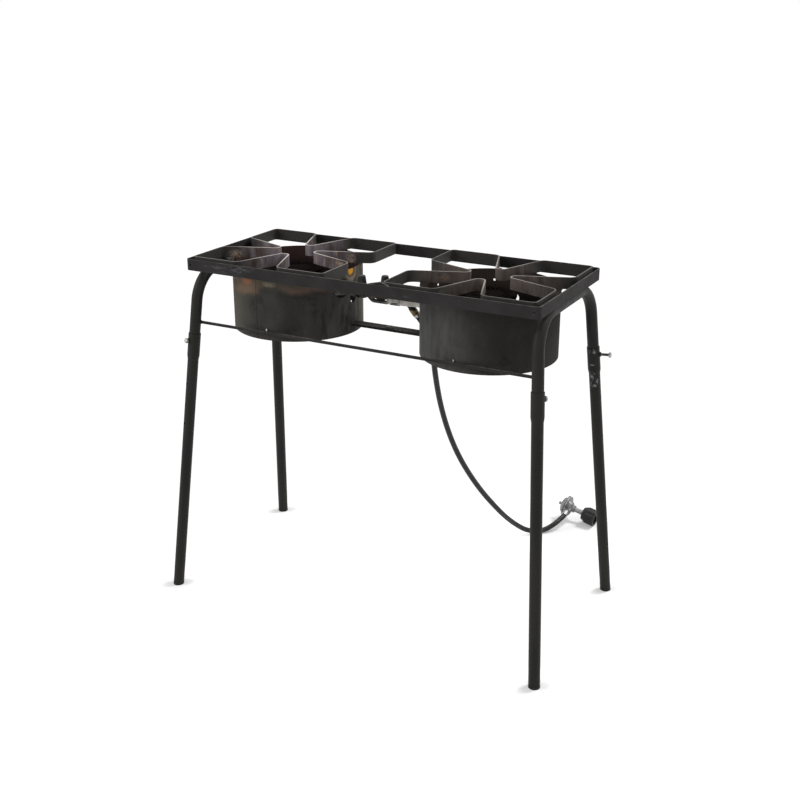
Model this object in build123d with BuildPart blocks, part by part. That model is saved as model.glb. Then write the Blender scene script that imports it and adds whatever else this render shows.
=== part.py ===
from build123d import *
from math import cos, pi, radians, sin, sqrt, tan
import os

os.makedirs("parts", exist_ok=True)

# Two-burner propane stove on four splayed legs.
# Millimetres, +Z up, origin on the floor under the middle of the frame.
# +X runs along the frame, -Y is the side the cook stands on.

# Top frame: one flat bar bent on edge into a rectangle
frame_length = 854.0
frame_width = 360.0
frame_top = 812.8
rail_height = 25.4
rail_thickness = 3.2
frame_corner_radius = 10.0
rail_hole_diameter = 5.0
rail_hole_inset = 13.0

# Grates: one closed strap each, bent into a near square with four inward fingers
middle_bay = 143.8
grate_end_gap = 8.7
grate_side_gap = 8.2
strap_height = 25.4
strap_thickness = 3.2
grate_rise = 5.0
grate_corner_radius = 9.0
finger_tip = 48.0
finger_tip_radius = 13.0
finger_root_radius = 18.0
finger_half_angle = 20.0
tab_length = 14.0
tab_height = 6.0
tab_drop = 10.0
tab_corner_inset = 25.0
tie_reach = 30.0
tie_low = 1.0
tie_high = 6.0

# Wind guards: rolled sheet drums hung under the grates
guard_inset = 16.0
guard_height = 151.0
sheet = 1.5
seam_slit = 1.0
seam_lap = 26.0
seam_angle = {"left": -96.0, "right": 3.0}
tube_opening_side = 2.0
tube_opening_rise = 1.0
air_hole_radius = 11.5
air_hole_stretch = {"left": 17.0, "right": 0.0}
air_holes = {"left": [(-2.3, 60.4)], "right": [(92.0, 64.5), (126.0, 64.5)]}
pin_hole_radius = 2.75
pin_holes = {"left": [(65.8, 123.7)], "right": [(110.0, 25.6), (164.0, 25.6)]}

# Legs: bent tube hoops above, swaged lower legs below
tube_radius = 12.7
tube_wall = 1.6
hoop_drop = 8.0
hoop_bend_radius = 75.0
splay_x = 57.1
splay_y = 82.5
rod_bite = 3.6
sleeve_below_rod = 25.0
sleeve_length = 53.0
swage_length = 10.0
socket_depth = 54.0
plug_overhang = 0.2
plug_depth = 16.0
plug_floor = 4.0
bolt_below_sleeve_top = 17.0
bolt_angle = {"lf": 245.0, "rf": 65.0, "lb": 182.0, "rb": 2.0}
bolt_radius = 3.1
bolt_head_flats = 11.1
bolt_head_height = 4.5
bolt_head_chamfer = 0.6
boss_radius = 5.5
boss_height = 2.5
bolt_standoff = {"lf": 2.0, "rf": 2.0, "lb": 2.0, "rb": 19.0}
leg_hole_diameter = 6.0
leg_hole_drops = (105.0, 203.0)

# Cross members under the guards
rod_radius = 3.5
rod_lift = 18.6
bar_width = 25.4
bar_thickness = 6.35
bar_lift = 23.4
rivet_head_radius = 12.0
rivet_head_height = 3.5
rivet_shank_radius = 4.0

# Burners
bowl_recess = 22.4
bowl_radius = 56.0
bowl_base_radius = 40.0
bowl_height = 62.0
bowl_wall = 5.0
bowl_rim = 10.0
socket_wall = 4.0
socket_lift = 1.8
socket_boss_length = 20.0
socket_seat_depth = 22.0
burner_lid_overhang = 2.0
burner_lid_thickness = 6.0
burner_lid_round = 2.0
port_count = 24
port_length = 17.0
port_width = 3.0
post_radius = 10.65
stud_radius = 5.0
stud_nut_flats = 17.0
stud_nut_height = 8.0

# Mixing tube with its air shutter, and the saddle that reaches from the right one under the valve
tube_mouth = {-1: 34.0, 1: 25.0}
tube_mouth_radius = 15.0
tube_throat_radius = 13.0
tube_throat_at = 92.0
tube_outlet_radius = 20.0
mixing_wall = 2.5
air_window_length = 15.0
air_window_count = 4
air_window_gap = 9.0
shutter_wall = 1.5
shutter_length = 22.0
shutter_tab_length = 11.0
shutter_tab_height = 7.0
saddle_drop = 11.5
saddle_thickness = 5.0
saddle_width = 13.0
saddle_forward = 4.5
saddle_bend_at = -6.5
saddle_bend_radius = 12.0
saddle_lip = Vector(-13.5, 12.6)

# Twin valve: a block in the middle, an arm to each side, an upright spindle and knob on each arm
valve_x = 8.4
valve_front = -93.0
valve_depth = 29.0
valve_drop = 31.8
valve_width = 18.0
valve_height = 26.0
valve_round = 8.5
valve_edge_round = 1.5
jet_inset = 17.0
jet_drop = {-1: 14.0, 1: 22.2}
arm_inset = 3.0
arm_drop = 8.0
arm_rise = 6.0
arm_radius = 5.0
knob_spread = 28.3
bonnet_radius = 6.5
bonnet_length = 9.0
bonnet_round = 1.0
stem_radius = 3.0
stem_depth = 6.0
stem_in_knob = 15.0
knob_radius = 10.6
knob_top_radius = 7.4
knob_height = 22.5
knob_round = 2.5
knob_gap = 2.0
knob_flutes = 10
flute_radius = 2.6
flute_depth = 0.8
jet_boss_radius = 8.0
jet_hex_length = 6.0
jet_flats = 12.0
jet_nose_radius = 4.9
jet_nose_length = 13.0
jet_tip_chamfer = 2.4
inlet_drop = 24.0
inlet_boss_length = 4.5
inlet_boss_sink = 8.0
nipple_radius = 5.5
elbow_radius = 7.0
elbow_corner_y = 14.0
elbow_bend_radius = 8.0
elbow_lead = 12.0
elbow_leg = 58.0
hose_direction = Vector(0.56, 0.195, -0.805).normalized()
hose_nut_flats = 15.0
hose_nut_length = 20.0
ferrule_wall = 1.7
upper_ferrule_length = 6.0
ferrule_groove = 1.0
ferrule_rings = {"upper": 1, "lower": 2}

# Hose and regulator
hose_radius = 6.7
regulator_centre = Vector(251.2, 555.1, 38.9)
regulator_turn = -5.0
regulator_dip = 11.0
port_roll = 10.0
port_at = 12.0
flange_radius = 28.5
flange_thickness = 4.0
cover_flange = 2.0
diaphragm_thickness = 1.2
diaphragm_inset = 0.5
regulator_body_radius = 19.0
regulator_shoulder_radius = 16.0
regulator_shoulder_drop = 4.0
regulator_body_depth = 18.0
regulator_neck_radius = 10.0
regulator_cavity_radius = 13.0
regulator_cavity_depth = 9.0
cover_radius = 22.0
cover_depth = 13.0
cover_round = 8.0
cover_wall = 4.0
vent_radius = 4.0
vent_reach = 23.0
regulator_screw_count = 5
screw_edge = 3.3
screw_radius = 1.6
screw_head_radius = 3.0
screw_head_height = 2.2
hose_port_radius = 7.5
hose_port_reach = 29.0
port_hex_flats = 17.4
port_hex_start = 18.5
port_hex_length = 9.5
lower_ferrule_length = 14.0
inlet_stem_radius = 6.8
inlet_stem_start = 24.0
nut_start = 50.0
nut_length = 38.0
nut_radius = 22.5
nut_back_radius = 17.0
nut_taper = 12.0
nut_lobes = 8
lobe_cut_radius = 7.0
lobe_cut_depth = 2.0
nut_bore_radius = 16.6
nut_back_wall = 4.0
collar_radius = 11.0
collar_thickness = 3.0

# Clearances
weld_gap = 0.05
running_clearance = 0.08
slip_clearance = 0.25
free_clearance = 0.4

# Levels and places worked out from the sizes above
sides = {"left": -1, "right": 1}
corners = {"lf": (-1, -1), "rf": (1, -1), "lb": (-1, 1), "rb": (1, 1)}
rail_bottom = frame_top - rail_height
rail_inner_x = frame_length / 2 - rail_thickness
rail_inner_y = frame_width / 2 - rail_thickness
grate_half_length = (rail_inner_x - grate_end_gap - middle_bay / 2 - strap_thickness) / 2
grate_half_width = rail_inner_y - grate_side_gap - strap_thickness / 2
burner_x = middle_bay / 2 + strap_thickness / 2 + grate_half_length
strap_top = frame_top + grate_rise
strap_bottom = strap_top - strap_height
guard_radius = min(grate_half_length, grate_half_width) - guard_inset
guard_inner = guard_radius - sheet
guard_top = strap_bottom
guard_bottom = guard_top - guard_height
rod_z = guard_bottom + rod_lift
rod_y = -(guard_radius + rod_radius + weld_gap)
bar_top = guard_bottom + bar_lift
bar_bottom = bar_top - bar_thickness
hoop_z = rail_bottom - hoop_drop
hoop_x = rail_inner_x - sqrt(tube_radius**2 - hoop_drop**2) - weld_gap
hoop_half_span = tube_radius - rod_bite - rod_y - splay_y * (hoop_z - rod_z) / hoop_z
sleeve_top = rod_z - sleeve_below_rod
sleeve_radius = tube_radius + tube_wall
bowl_top = guard_top - bowl_recess
bowl_base = bowl_top - bowl_height
socket_boss_radius = tube_outlet_radius + socket_wall
socket_boss_reach = bowl_radius + socket_boss_length
socket_seat_reach = socket_boss_reach - socket_seat_depth
burner_axis_z = bowl_base + socket_boss_radius + socket_lift
valve_top = frame_top - valve_drop
valve_bottom = valve_top - valve_height
valve_back = valve_front + valve_depth
jet_y = valve_front + jet_inset
inlet_z = valve_top - inlet_drop
inlet_boss_end = valve_back + inlet_boss_length


def save(solid, label):
    solid.label = label
    export_step(solid, f"parts/{label}.step")


def hex_radius(flats):
    return flats / 2 / cos(radians(30))


def axis_plane(origin, along):
    # A plane whose normal follows the given direction, its x as level as it can be
    level = Vector(0, 0, 1).cross(along)
    return Plane(origin=origin, x_dir=level, z_dir=along)


# Top frame with a fixing hole near each end of both long rails
with BuildPart() as top_frame:
    with BuildSketch(Plane.XY.offset(rail_bottom)):
        RectangleRounded(frame_length, frame_width, frame_corner_radius)
        RectangleRounded(
            frame_length - 2 * rail_thickness,
            frame_width - 2 * rail_thickness,
            frame_corner_radius - rail_thickness,
            mode=Mode.SUBTRACT,
        )
    extrude(amount=rail_height)
    rail_middle = rail_bottom + rail_height / 2
    hole_x = frame_length / 2 - rail_hole_inset
    with BuildSketch(Plane.XZ.offset(-frame_width)):
        with Locations((-hole_x, rail_middle), (hole_x, rail_middle)):
            Circle(rail_hole_diameter / 2)
    extrude(amount=2 * frame_width, mode=Mode.SUBTRACT)
save(top_frame.part, "top_frame")


# Grates
def grate_outline(centre_x):
    # Corner, finger root, finger point and finger root again, once for each side
    half = radians(finger_half_angle)
    point = finger_tip - finger_tip_radius * (1 / sin(half) - 1)
    side_radii = [grate_corner_radius, finger_root_radius, finger_tip_radius, finger_root_radius]
    outline = []
    for turn in range(4):
        run = (grate_half_length, grate_half_width)[turn % 2]
        reach = (grate_half_width, grate_half_length)[turn % 2]
        root = (reach - point) * tan(half)
        for x, y in [(-run, -reach), (-root, -reach), (0, -point), (root, -reach)]:
            corner = Vector(x, y, 0).rotate(Axis.Z, 90 * turn)
            outline.append((corner.X + centre_x, corner.Y))
    return outline, side_radii * 4


def grate(centre_x):
    outline, radii = grate_outline(centre_x)
    with BuildPart() as strap_loop:
        with BuildSketch(Plane.XY.offset(strap_bottom)):
            with BuildLine():
                FilletPolyline(*outline, radius=radii, close=True)
            make_face()
            offset(amount=strap_thickness / 2)
        extrude(amount=strap_height)
        with BuildSketch(Plane.XY.offset(strap_bottom)):
            with BuildLine():
                FilletPolyline(*outline, radius=radii, close=True)
            make_face()
            offset(amount=-strap_thickness / 2)
        extrude(amount=strap_height, mode=Mode.SUBTRACT)
    return strap_loop.part


for side, sign in sides.items():
    save(grate(sign * burner_x), f"grate_{side}")

# Tabs that tie each grate to the front and back rails
with BuildPart() as grate_tabs:
    tab_x = grate_half_length - tab_corner_inset
    tab_y = rail_inner_y - grate_side_gap / 2
    with BuildSketch(Plane.XY.offset(frame_top - tab_drop)):
        tab_places = []
        for sign in sides.values():
            for end in (-1, 1):
                for face in (-1, 1):
                    tab_places.append((sign * burner_x + end * tab_x, face * tab_y))
        with Locations(*tab_places):
            Rectangle(tab_length, grate_side_gap)
    extrude(amount=tab_height)
save(grate_tabs.part, "grate_tabs")

# A wedge of strap that ties the right grate's inner corner to the front rail
with BuildPart() as corner_tie:
    corner_x = burner_x - grate_half_length - strap_thickness / 2
    tie_end = burner_x - tab_x - tab_length / 2
    tie_bottom = frame_top - tab_drop
    with BuildSketch(Plane.XZ.offset(rail_inner_y - grate_side_gap)):
        with BuildLine():
            Polyline(
                (corner_x - tie_reach, tie_bottom),
                (tie_end, tie_bottom),
                (tie_end, frame_top),
                (corner_x, frame_top + tie_high),
                (corner_x - tie_reach, frame_top - tie_low),
                close=True,
            )
        make_face()
    extrude(amount=grate_side_gap)
save(corner_tie.part, "corner_tie")


# Burner axes: each mixing tube runs from the twin valve out and down to its burner
def jet_point(sign):
    return Vector(valve_x, jet_y, valve_top - jet_drop[sign])


def burner_centre(sign):
    return Vector(sign * burner_x, 0, burner_axis_z)


def tube_direction(sign):
    return (burner_centre(sign) - jet_point(sign)).normalized()


def tube_run(sign):
    return (burner_centre(sign) - jet_point(sign)).length


def tube_mouth_point(sign):
    return jet_point(sign) + tube_direction(sign) * tube_mouth[sign]


# Wind guards
def cut_guard_holes(sign, places, radius, stretch):
    # Round holes or upright slots through one wall, each with its bearing and depth below the rim
    for angle, depth in places:
        way = Vector(cos(radians(angle)), sin(radians(angle)), 0)
        with BuildSketch(axis_plane((sign * burner_x, 0, guard_top - depth), way)) as hole:
            if stretch > 0:
                SlotCenterToCenter(stretch, 2 * radius, rotation=90)
            else:
                Circle(radius)
        extrude(hole.sketch, amount=2 * guard_radius, mode=Mode.SUBTRACT)


def wind_guard(side, sign):
    angle = radians(seam_angle[side])
    along = tube_direction(sign)
    flat_along = Vector(along.X, along.Y, 0).normalized()
    slot_z = burner_axis_z - along.Z * guard_radius
    with BuildPart() as drum:
        with BuildSketch(Plane.XY.offset(guard_bottom)):
            with Locations((sign * burner_x, 0)):
                Circle(guard_radius)
                Circle(guard_inner, mode=Mode.SUBTRACT)
            seam_middle = guard_radius - sheet / 2
            with Locations((sign * burner_x + seam_middle * cos(angle), seam_middle * sin(angle))):
                Rectangle(3 * sheet, seam_slit, rotation=seam_angle[side], mode=Mode.SUBTRACT)
        extrude(amount=guard_height)
        with BuildSketch(Plane.XY.offset(guard_bottom)):
            with Locations((sign * burner_x, 0)):
                Circle(guard_inner)
                Circle(guard_inner - sheet, mode=Mode.SUBTRACT)
            with Locations((sign * burner_x + guard_inner * cos(angle), guard_inner * sin(angle))):
                Rectangle(20 * sheet, seam_lap, rotation=seam_angle[side], mode=Mode.INTERSECT)
        extrude(amount=guard_height)
        slot_plane = Plane(
            origin=(sign * burner_x, 0, slot_z),
            x_dir=flat_along.cross(Vector(0, 0, 1)),
            z_dir=flat_along * -1,
        )
        with BuildSketch(slot_plane):
            SlotOverall(
                2 * (tube_outlet_radius + tube_opening_side),
                2 * (tube_outlet_radius + tube_opening_rise),
            )
        extrude(amount=2 * guard_radius, mode=Mode.SUBTRACT)
        bar_plane = Plane(
            origin=(sign * burner_x, 0, bar_top - bar_thickness / 2), x_dir=(0, 1, 0), z_dir=(-sign, 0, 0)
        )
        with BuildSketch(bar_plane):
            Rectangle(bar_width + 2 * slip_clearance, bar_thickness + 2 * slip_clearance)
        extrude(amount=2 * guard_radius, mode=Mode.SUBTRACT)
        cut_guard_holes(sign, air_holes[side], air_hole_radius, air_hole_stretch[side])
        cut_guard_holes(sign, pin_holes[side], pin_hole_radius, 0)
    return drum.part


for side, sign in sides.items():
    save(wind_guard(side, sign), f"wind_guard_{side}")


# Legs: an axis runs down each corner from the hoop's corner point to the floor
def leg_top(corner):
    sx, sy = corners[corner]
    return Vector(sx * hoop_x, sy * hoop_half_span, hoop_z)


def leg_axis(corner):
    sx, sy = corners[corner]
    return Vector(sx * splay_x, sy * splay_y, -hoop_z).normalized()


def leg_at_height(corner, z):
    along = leg_axis(corner)
    return leg_top(corner) + along * ((z - hoop_z) / along.Z)


def bolt_direction(corner):
    # Square to the leg, on that leg's own bearing
    outward = Vector(cos(radians(bolt_angle[corner])), sin(radians(bolt_angle[corner])), 0)
    along = leg_axis(corner)
    return (outward - along * outward.dot(along)).normalized()


def leg_hoop(sign):
    front = "rf" if sign > 0 else "lf"
    back = "rb" if sign > 0 else "lb"
    reach = socket_depth - free_clearance
    ends = [leg_at_height(c, sleeve_top) + leg_axis(c) * reach for c in (front, back)]
    with BuildPart() as hoop:
        with BuildLine() as route:
            FilletPolyline(ends[0], leg_top(front), leg_top(back), ends[1], radius=hoop_bend_radius)
        with BuildSketch(Plane(origin=route.line @ 0, z_dir=route.line % 0)):
            Circle(tube_radius)
            Circle(tube_radius - tube_wall, mode=Mode.SUBTRACT)
        sweep()
    return hoop.part


for side, sign in sides.items():
    save(leg_hoop(sign), f"leg_hoop_{side}")


def lower_leg(corner):
    # Turned about the leg's axis: sleeve, swage, tube, and the socket inside the sleeve
    along = leg_axis(corner)
    start = leg_at_height(corner, sleeve_top)
    length = start.Z / -along.Z - plug_floor
    bore = tube_radius + running_clearance
    narrow = tube_radius - tube_wall
    swage_end = sleeve_length + swage_length
    outward = bolt_direction(corner)
    bolt_point = start + along * bolt_below_sleeve_top
    boss_root = tube_radius + free_clearance
    with BuildPart() as leg:
        with BuildSketch(Plane(origin=start, x_dir=outward, z_dir=outward.cross(along))):
            with BuildLine():
                Polyline(
                    (bore, 0),
                    (sleeve_radius, 0),
                    (sleeve_radius, sleeve_length),
                    (tube_radius, swage_end),
                    (tube_radius, length),
                    (narrow, length),
                    (narrow, socket_depth + swage_length),
                    (bore, socket_depth),
                    close=True,
                )
            make_face()
        revolve(axis=Axis(start, along))
        with BuildSketch(axis_plane(bolt_point + outward * boss_root, outward)):
            Circle(boss_radius)
        extrude(amount=sleeve_radius + boss_height - boss_root)
        with BuildSketch(axis_plane(bolt_point, outward)):
            Circle(bolt_radius + running_clearance)
        extrude(amount=2 * sleeve_radius, mode=Mode.SUBTRACT)
        for drop in leg_hole_drops:
            hole_point = bolt_point + along * drop
            with BuildSketch(axis_plane(hole_point, outward)):
                Circle(leg_hole_diameter / 2)
            extrude(amount=2 * sleeve_radius, mode=Mode.SUBTRACT)
    return leg.part


def foot_plug(corner):
    # A plug in the tube's end, its flange trimmed level so that it stands flat
    along = leg_axis(corner)
    start = leg_at_height(corner, sleeve_top)
    tube_end = start + along * (start.Z / -along.Z - plug_floor)
    with BuildPart() as plug:
        with BuildSketch(axis_plane(tube_end, along)):
            Circle(tube_radius + plug_overhang)
        extrude(amount=3 * plug_floor)
        with BuildSketch(axis_plane(tube_end, along * -1)):
            Circle(tube_radius - tube_wall - weld_gap)
        extrude(amount=plug_depth)
        split(bisect_by=Plane.XY, keep=Keep.TOP)
    return plug.part


def leg_bolt(corner):
    along = leg_axis(corner)
    outward = bolt_direction(corner)
    middle = leg_at_height(corner, sleeve_top) + along * bolt_below_sleeve_top
    tip = tube_radius + free_clearance
    head = sleeve_radius + boss_height + bolt_standoff[corner]
    with BuildPart() as bolt:
        with BuildSketch(axis_plane(middle + outward * tip, outward)):
            Circle(bolt_radius)
        extrude(amount=head - tip)
        with BuildSketch(axis_plane(middle + outward * head, outward)):
            RegularPolygon(hex_radius(bolt_head_flats), 6)
        extrude(amount=bolt_head_height)
        chamfer(bolt.faces().sort_by(Axis(middle, outward))[-1].edges(), bolt_head_chamfer)
    return bolt.part


for corner in corners:
    save(lower_leg(corner), f"lower_leg_{corner}")
    save(foot_plug(corner), f"foot_plug_{corner}")
    save(leg_bolt(corner), f"leg_bolt_{corner}")

# Front rod, coped to the two front leg tubes and welded across both guards
with BuildPart() as front_rod:
    rod_reach = leg_at_height("rf", rod_z).X
    with BuildSketch(Plane.YZ.offset(-rod_reach)):
        with Locations((rod_y, rod_z)):
            Circle(rod_radius)
    extrude(amount=2 * rod_reach)
    for corner in ("lf", "rf"):
        along = leg_axis(corner)
        cope_reach = 4 * tube_radius
        with BuildSketch(axis_plane(leg_at_height(corner, rod_z) - along * cope_reach, along)):
            Circle(tube_radius + weld_gap)
        extrude(amount=2 * cope_reach, mode=Mode.SUBTRACT)
save(front_rod.part, "front_rod")

# Burner bar: a flat bar through both guards, its ends rounded to the far wall and to the seam's lap
with BuildPart() as burner_bar:
    left_end_radius = guard_inner - weld_gap
    right_end_radius = left_end_radius - sheet
    left_edge_x = burner_x + sqrt(left_end_radius**2 - (bar_width / 2) ** 2)
    right_edge_x = burner_x + sqrt(right_end_radius**2 - (bar_width / 2) ** 2)
    left_tip = (-burner_x - left_end_radius, 0)
    right_tip = (burner_x + right_end_radius, 0)
    with BuildSketch(Plane.XY.offset(bar_bottom)):
        with BuildLine():
            Line((-left_edge_x, -bar_width / 2), (right_edge_x, -bar_width / 2))
            ThreePointArc((right_edge_x, -bar_width / 2), right_tip, (right_edge_x, bar_width / 2))
            Line((right_edge_x, bar_width / 2), (-left_edge_x, bar_width / 2))
            ThreePointArc((-left_edge_x, bar_width / 2), left_tip, (-left_edge_x, -bar_width / 2))
        make_face()
        with Locations((-burner_x, 0), (burner_x, 0)):
            Circle(stud_radius + slip_clearance, mode=Mode.SUBTRACT)
        with Locations((0, 0)):
            Circle(rivet_shank_radius + weld_gap, mode=Mode.SUBTRACT)
    extrude(amount=bar_thickness)
save(burner_bar.part, "burner_bar")

# Domed rivet in the middle of the bar, flush underneath
with BuildPart() as bar_rivet:
    dome_radius = (rivet_head_radius**2 + rivet_head_height**2) / (2 * rivet_head_height)
    rise_at_half = sqrt(dome_radius**2 - (rivet_head_radius / 2) ** 2) - dome_radius + rivet_head_height
    with BuildSketch(Plane.XZ):
        with BuildLine():
            Polyline(
                (0, bar_top + rivet_head_height),
                (0, bar_bottom),
                (rivet_shank_radius, bar_bottom),
                (rivet_shank_radius, bar_top),
                (rivet_head_radius, bar_top),
            )
            ThreePointArc(
                (rivet_head_radius, bar_top),
                (rivet_head_radius / 2, bar_top + rise_at_half),
                (0, bar_top + rivet_head_height),
            )
        make_face()
    revolve(axis=Axis.Z)
save(bar_rivet.part, "bar_rivet")


# Burners: cast bowl, slotted lid, and the pipe post that stands it on the bar
def burner_bowl(sign):
    centre = burner_centre(sign)
    along = tube_direction(sign)
    inner_top = bowl_radius - bowl_wall
    inner_base = bowl_base_radius - bowl_wall
    axis = Axis((sign * burner_x, 0, 0), (0, 0, 1))
    profile = Plane(origin=(sign * burner_x, 0, 0), x_dir=(1, 0, 0), z_dir=(0, -1, 0))
    with BuildPart() as bowl:
        with BuildSketch(profile):
            with BuildLine():
                Polyline(
                    (0, bowl_base),
                    (bowl_base_radius, bowl_base),
                    (bowl_radius, bowl_top - bowl_rim),
                    (bowl_radius, bowl_top),
                    (0, bowl_top),
                    close=True,
                )
            make_face()
        revolve(axis=axis)
        with BuildSketch(axis_plane(centre, along * -1)):
            Circle(socket_boss_radius)
        extrude(amount=socket_boss_reach)
        with BuildSketch(profile):
            with BuildLine():
                Polyline(
                    (0, bowl_base + bowl_wall),
                    (inner_base, bowl_base + bowl_wall),
                    (inner_top, bowl_top - bowl_rim),
                    (inner_top, bowl_top + bowl_wall),
                    (0, bowl_top + bowl_wall),
                    close=True,
                )
            make_face()
        revolve(axis=axis, mode=Mode.SUBTRACT)
        with BuildSketch(axis_plane(centre, along * -1)):
            Circle(tube_outlet_radius - mixing_wall)
        extrude(amount=socket_boss_reach, mode=Mode.SUBTRACT)
        with BuildSketch(axis_plane(centre - along * socket_seat_reach, along * -1)):
            Circle(tube_outlet_radius + weld_gap)
        extrude(amount=socket_boss_reach, mode=Mode.SUBTRACT)
        with BuildSketch(Plane.XY.offset(bowl_base)):
            with Locations((sign * burner_x, 0)):
                Circle(stud_radius + slip_clearance)
        extrude(amount=bowl_wall, mode=Mode.SUBTRACT)
    return bowl.part


def burner_lid(sign):
    lid_radius = bowl_radius + burner_lid_overhang
    ring_outer = bowl_radius - bowl_wall - slip_clearance
    port_ring = ring_outer - bowl_wall - port_length / 2 - slip_clearance
    lid_plane = Plane.XY.offset(bowl_top)
    with BuildPart() as lid:
        with BuildSketch(lid_plane):
            with Locations((sign * burner_x, 0)):
                Circle(lid_radius)
        extrude(amount=burner_lid_thickness)
        fillet(lid.faces().sort_by(Axis.Z)[-1].edges(), burner_lid_round)
        with BuildSketch(lid_plane):
            with Locations((sign * burner_x, 0)):
                Circle(ring_outer)
                Circle(ring_outer - bowl_wall, mode=Mode.SUBTRACT)
        extrude(amount=-burner_lid_thickness)
        with BuildSketch(lid_plane):
            with Locations((sign * burner_x, 0)):
                with PolarLocations(port_ring, port_count):
                    SlotOverall(port_length, port_width)
        extrude(amount=burner_lid_thickness, mode=Mode.SUBTRACT)
    return lid.part


def burner_post(sign):
    with BuildPart() as post:
        with BuildSketch(Plane.XY.offset(bar_top)):
            with Locations((sign * burner_x, 0)):
                Circle(post_radius)
                Circle(stud_radius + slip_clearance, mode=Mode.SUBTRACT)
        extrude(amount=bowl_base - bar_top)
    return post.part


for side, sign in sides.items():
    save(burner_bowl(sign), f"burner_bowl_{side}")
    save(burner_lid(sign), f"burner_lid_{side}")
    save(burner_post(sign), f"burner_post_{side}")

stud_low = bar_bottom - stud_nut_height
stud_high = bowl_base + bowl_wall + stud_nut_height
with BuildPart() as burner_studs:
    with BuildSketch(Plane.XY.offset(stud_low)):
        with Locations((-burner_x, 0), (burner_x, 0)):
            Circle(stud_radius)
    extrude(amount=stud_high - stud_low)
save(burner_studs.part, "burner_studs")

with BuildPart() as stud_nuts:
    for nut_base in (stud_low, bowl_base + bowl_wall):
        with BuildSketch(Plane.XY.offset(nut_base)):
            with Locations((-burner_x, 0), (burner_x, 0)):
                RegularPolygon(hex_radius(stud_nut_flats), 6)
                Circle(stud_radius + weld_gap, mode=Mode.SUBTRACT)
        extrude(amount=stud_nut_height)
save(stud_nuts.part, "stud_nuts")


# Mixing tubes: turned venturi profile, closed at the mouth but for the jet and the air windows
def cut_air_windows(sign):
    # Windows round the mouth, cut square to the tube's axis
    along = tube_direction(sign)
    window_width = 2 * tube_mouth_radius * sin(radians(180 / air_window_count / 2))
    middle = tube_mouth_point(sign) + along * (air_window_gap + air_window_length / 2)
    level = Vector(0, 0, 1).cross(along).normalized()
    for turn in range(air_window_count):
        angle = 360 / air_window_count * (turn + 0.5)
        way = level.rotate(Axis((0, 0, 0), along), angle)
        with BuildSketch(Plane(origin=middle, x_dir=along, z_dir=way)) as window:
            Rectangle(air_window_length, window_width)
        extrude(window.sketch, amount=2 * tube_mouth_radius, mode=Mode.SUBTRACT)


def valve_saddle(sign):
    # A bent strip from the tube's mouth, forward under the valve and up beside it
    along = tube_direction(sign)
    level = Vector(0, 0, 1).cross(along).normalized()
    upright = along.cross(level)
    middle = jet_point(sign) - level * saddle_forward - upright * saddle_drop
    bend = middle + along * saddle_bend_at
    with BuildLine() as strip:
        FilletPolyline(
            middle + along * (tube_mouth[sign] + mixing_wall),
            bend,
            bend + along * saddle_lip.X + upright * saddle_lip.Y,
            radius=saddle_bend_radius,
        )
    with BuildSketch(Plane(origin=strip.line @ 0, x_dir=level, z_dir=strip.line % 0)) as strip_end:
        Rectangle(saddle_width, saddle_thickness)
    sweep(strip_end.sketch, path=strip.line)


def mixing_tube(sign):
    along = tube_direction(sign)
    level = Vector(0, 0, 1).cross(along).normalized()
    outlet = tube_run(sign) - socket_seat_reach
    mouth = tube_mouth[sign]
    mouth_end = mouth + air_window_gap + air_window_length + shutter_length / 2
    with BuildPart() as tube:
        with BuildSketch(Plane(origin=jet_point(sign), x_dir=level, z_dir=level.cross(along))):
            with BuildLine():
                Polyline(
                    (jet_nose_radius + weld_gap, mouth),
                    (tube_mouth_radius, mouth),
                    (tube_mouth_radius, mouth_end),
                    (tube_throat_radius, tube_throat_at),
                    (tube_outlet_radius, outlet - socket_boss_radius),
                    (tube_outlet_radius, outlet),
                    (tube_outlet_radius - mixing_wall, outlet),
                    (tube_outlet_radius - mixing_wall, outlet - socket_boss_radius),
                    (tube_throat_radius - mixing_wall, tube_throat_at),
                    (tube_mouth_radius - mixing_wall, mouth_end),
                    (tube_mouth_radius - mixing_wall, mouth + mixing_wall),
                    (jet_nose_radius + weld_gap, mouth + mixing_wall),
                    close=True,
                )
            make_face()
        revolve(axis=Axis(jet_point(sign), along))
        cut_air_windows(sign)
        if sign > 0:
            valve_saddle(sign)
    return tube.part


def air_shutter(sign):
    along = tube_direction(sign)
    level = Vector(0, 0, 1).cross(along).normalized()
    inner = tube_mouth_radius + running_clearance
    outer = inner + shutter_wall
    middle = tube_mouth_point(sign) + along * (air_window_gap + air_window_length / 2)
    with BuildPart() as shutter:
        with BuildSketch(axis_plane(middle - along * (shutter_length / 2), along)):
            Circle(outer)
            Circle(inner, mode=Mode.SUBTRACT)
        extrude(amount=shutter_length)
        tab_way = along.cross(level)
        tab_foot = middle + tab_way * (inner + shutter_wall / 2)
        with BuildSketch(Plane(origin=tab_foot, x_dir=along, z_dir=tab_way)):
            Rectangle(shutter_tab_length, shutter_wall)
        extrude(amount=shutter_tab_height)
        cut_air_windows(sign)
    return shutter.part


for side, sign in sides.items():
    save(mixing_tube(sign), f"mixing_tube_{side}")
    save(air_shutter(sign), f"air_shutter_{side}")


# Twin valve: one brass block with an arm and a bonnet for each side, jet bosses and the gas inlet
def arm_end(sign):
    return Vector(
        valve_x + sign * knob_spread,
        valve_front + arm_inset,
        valve_top - arm_drop + sign * arm_rise / 2,
    )


def bonnet_top(sign):
    return arm_end(sign) + Vector(0, 0, bonnet_length)


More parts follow.
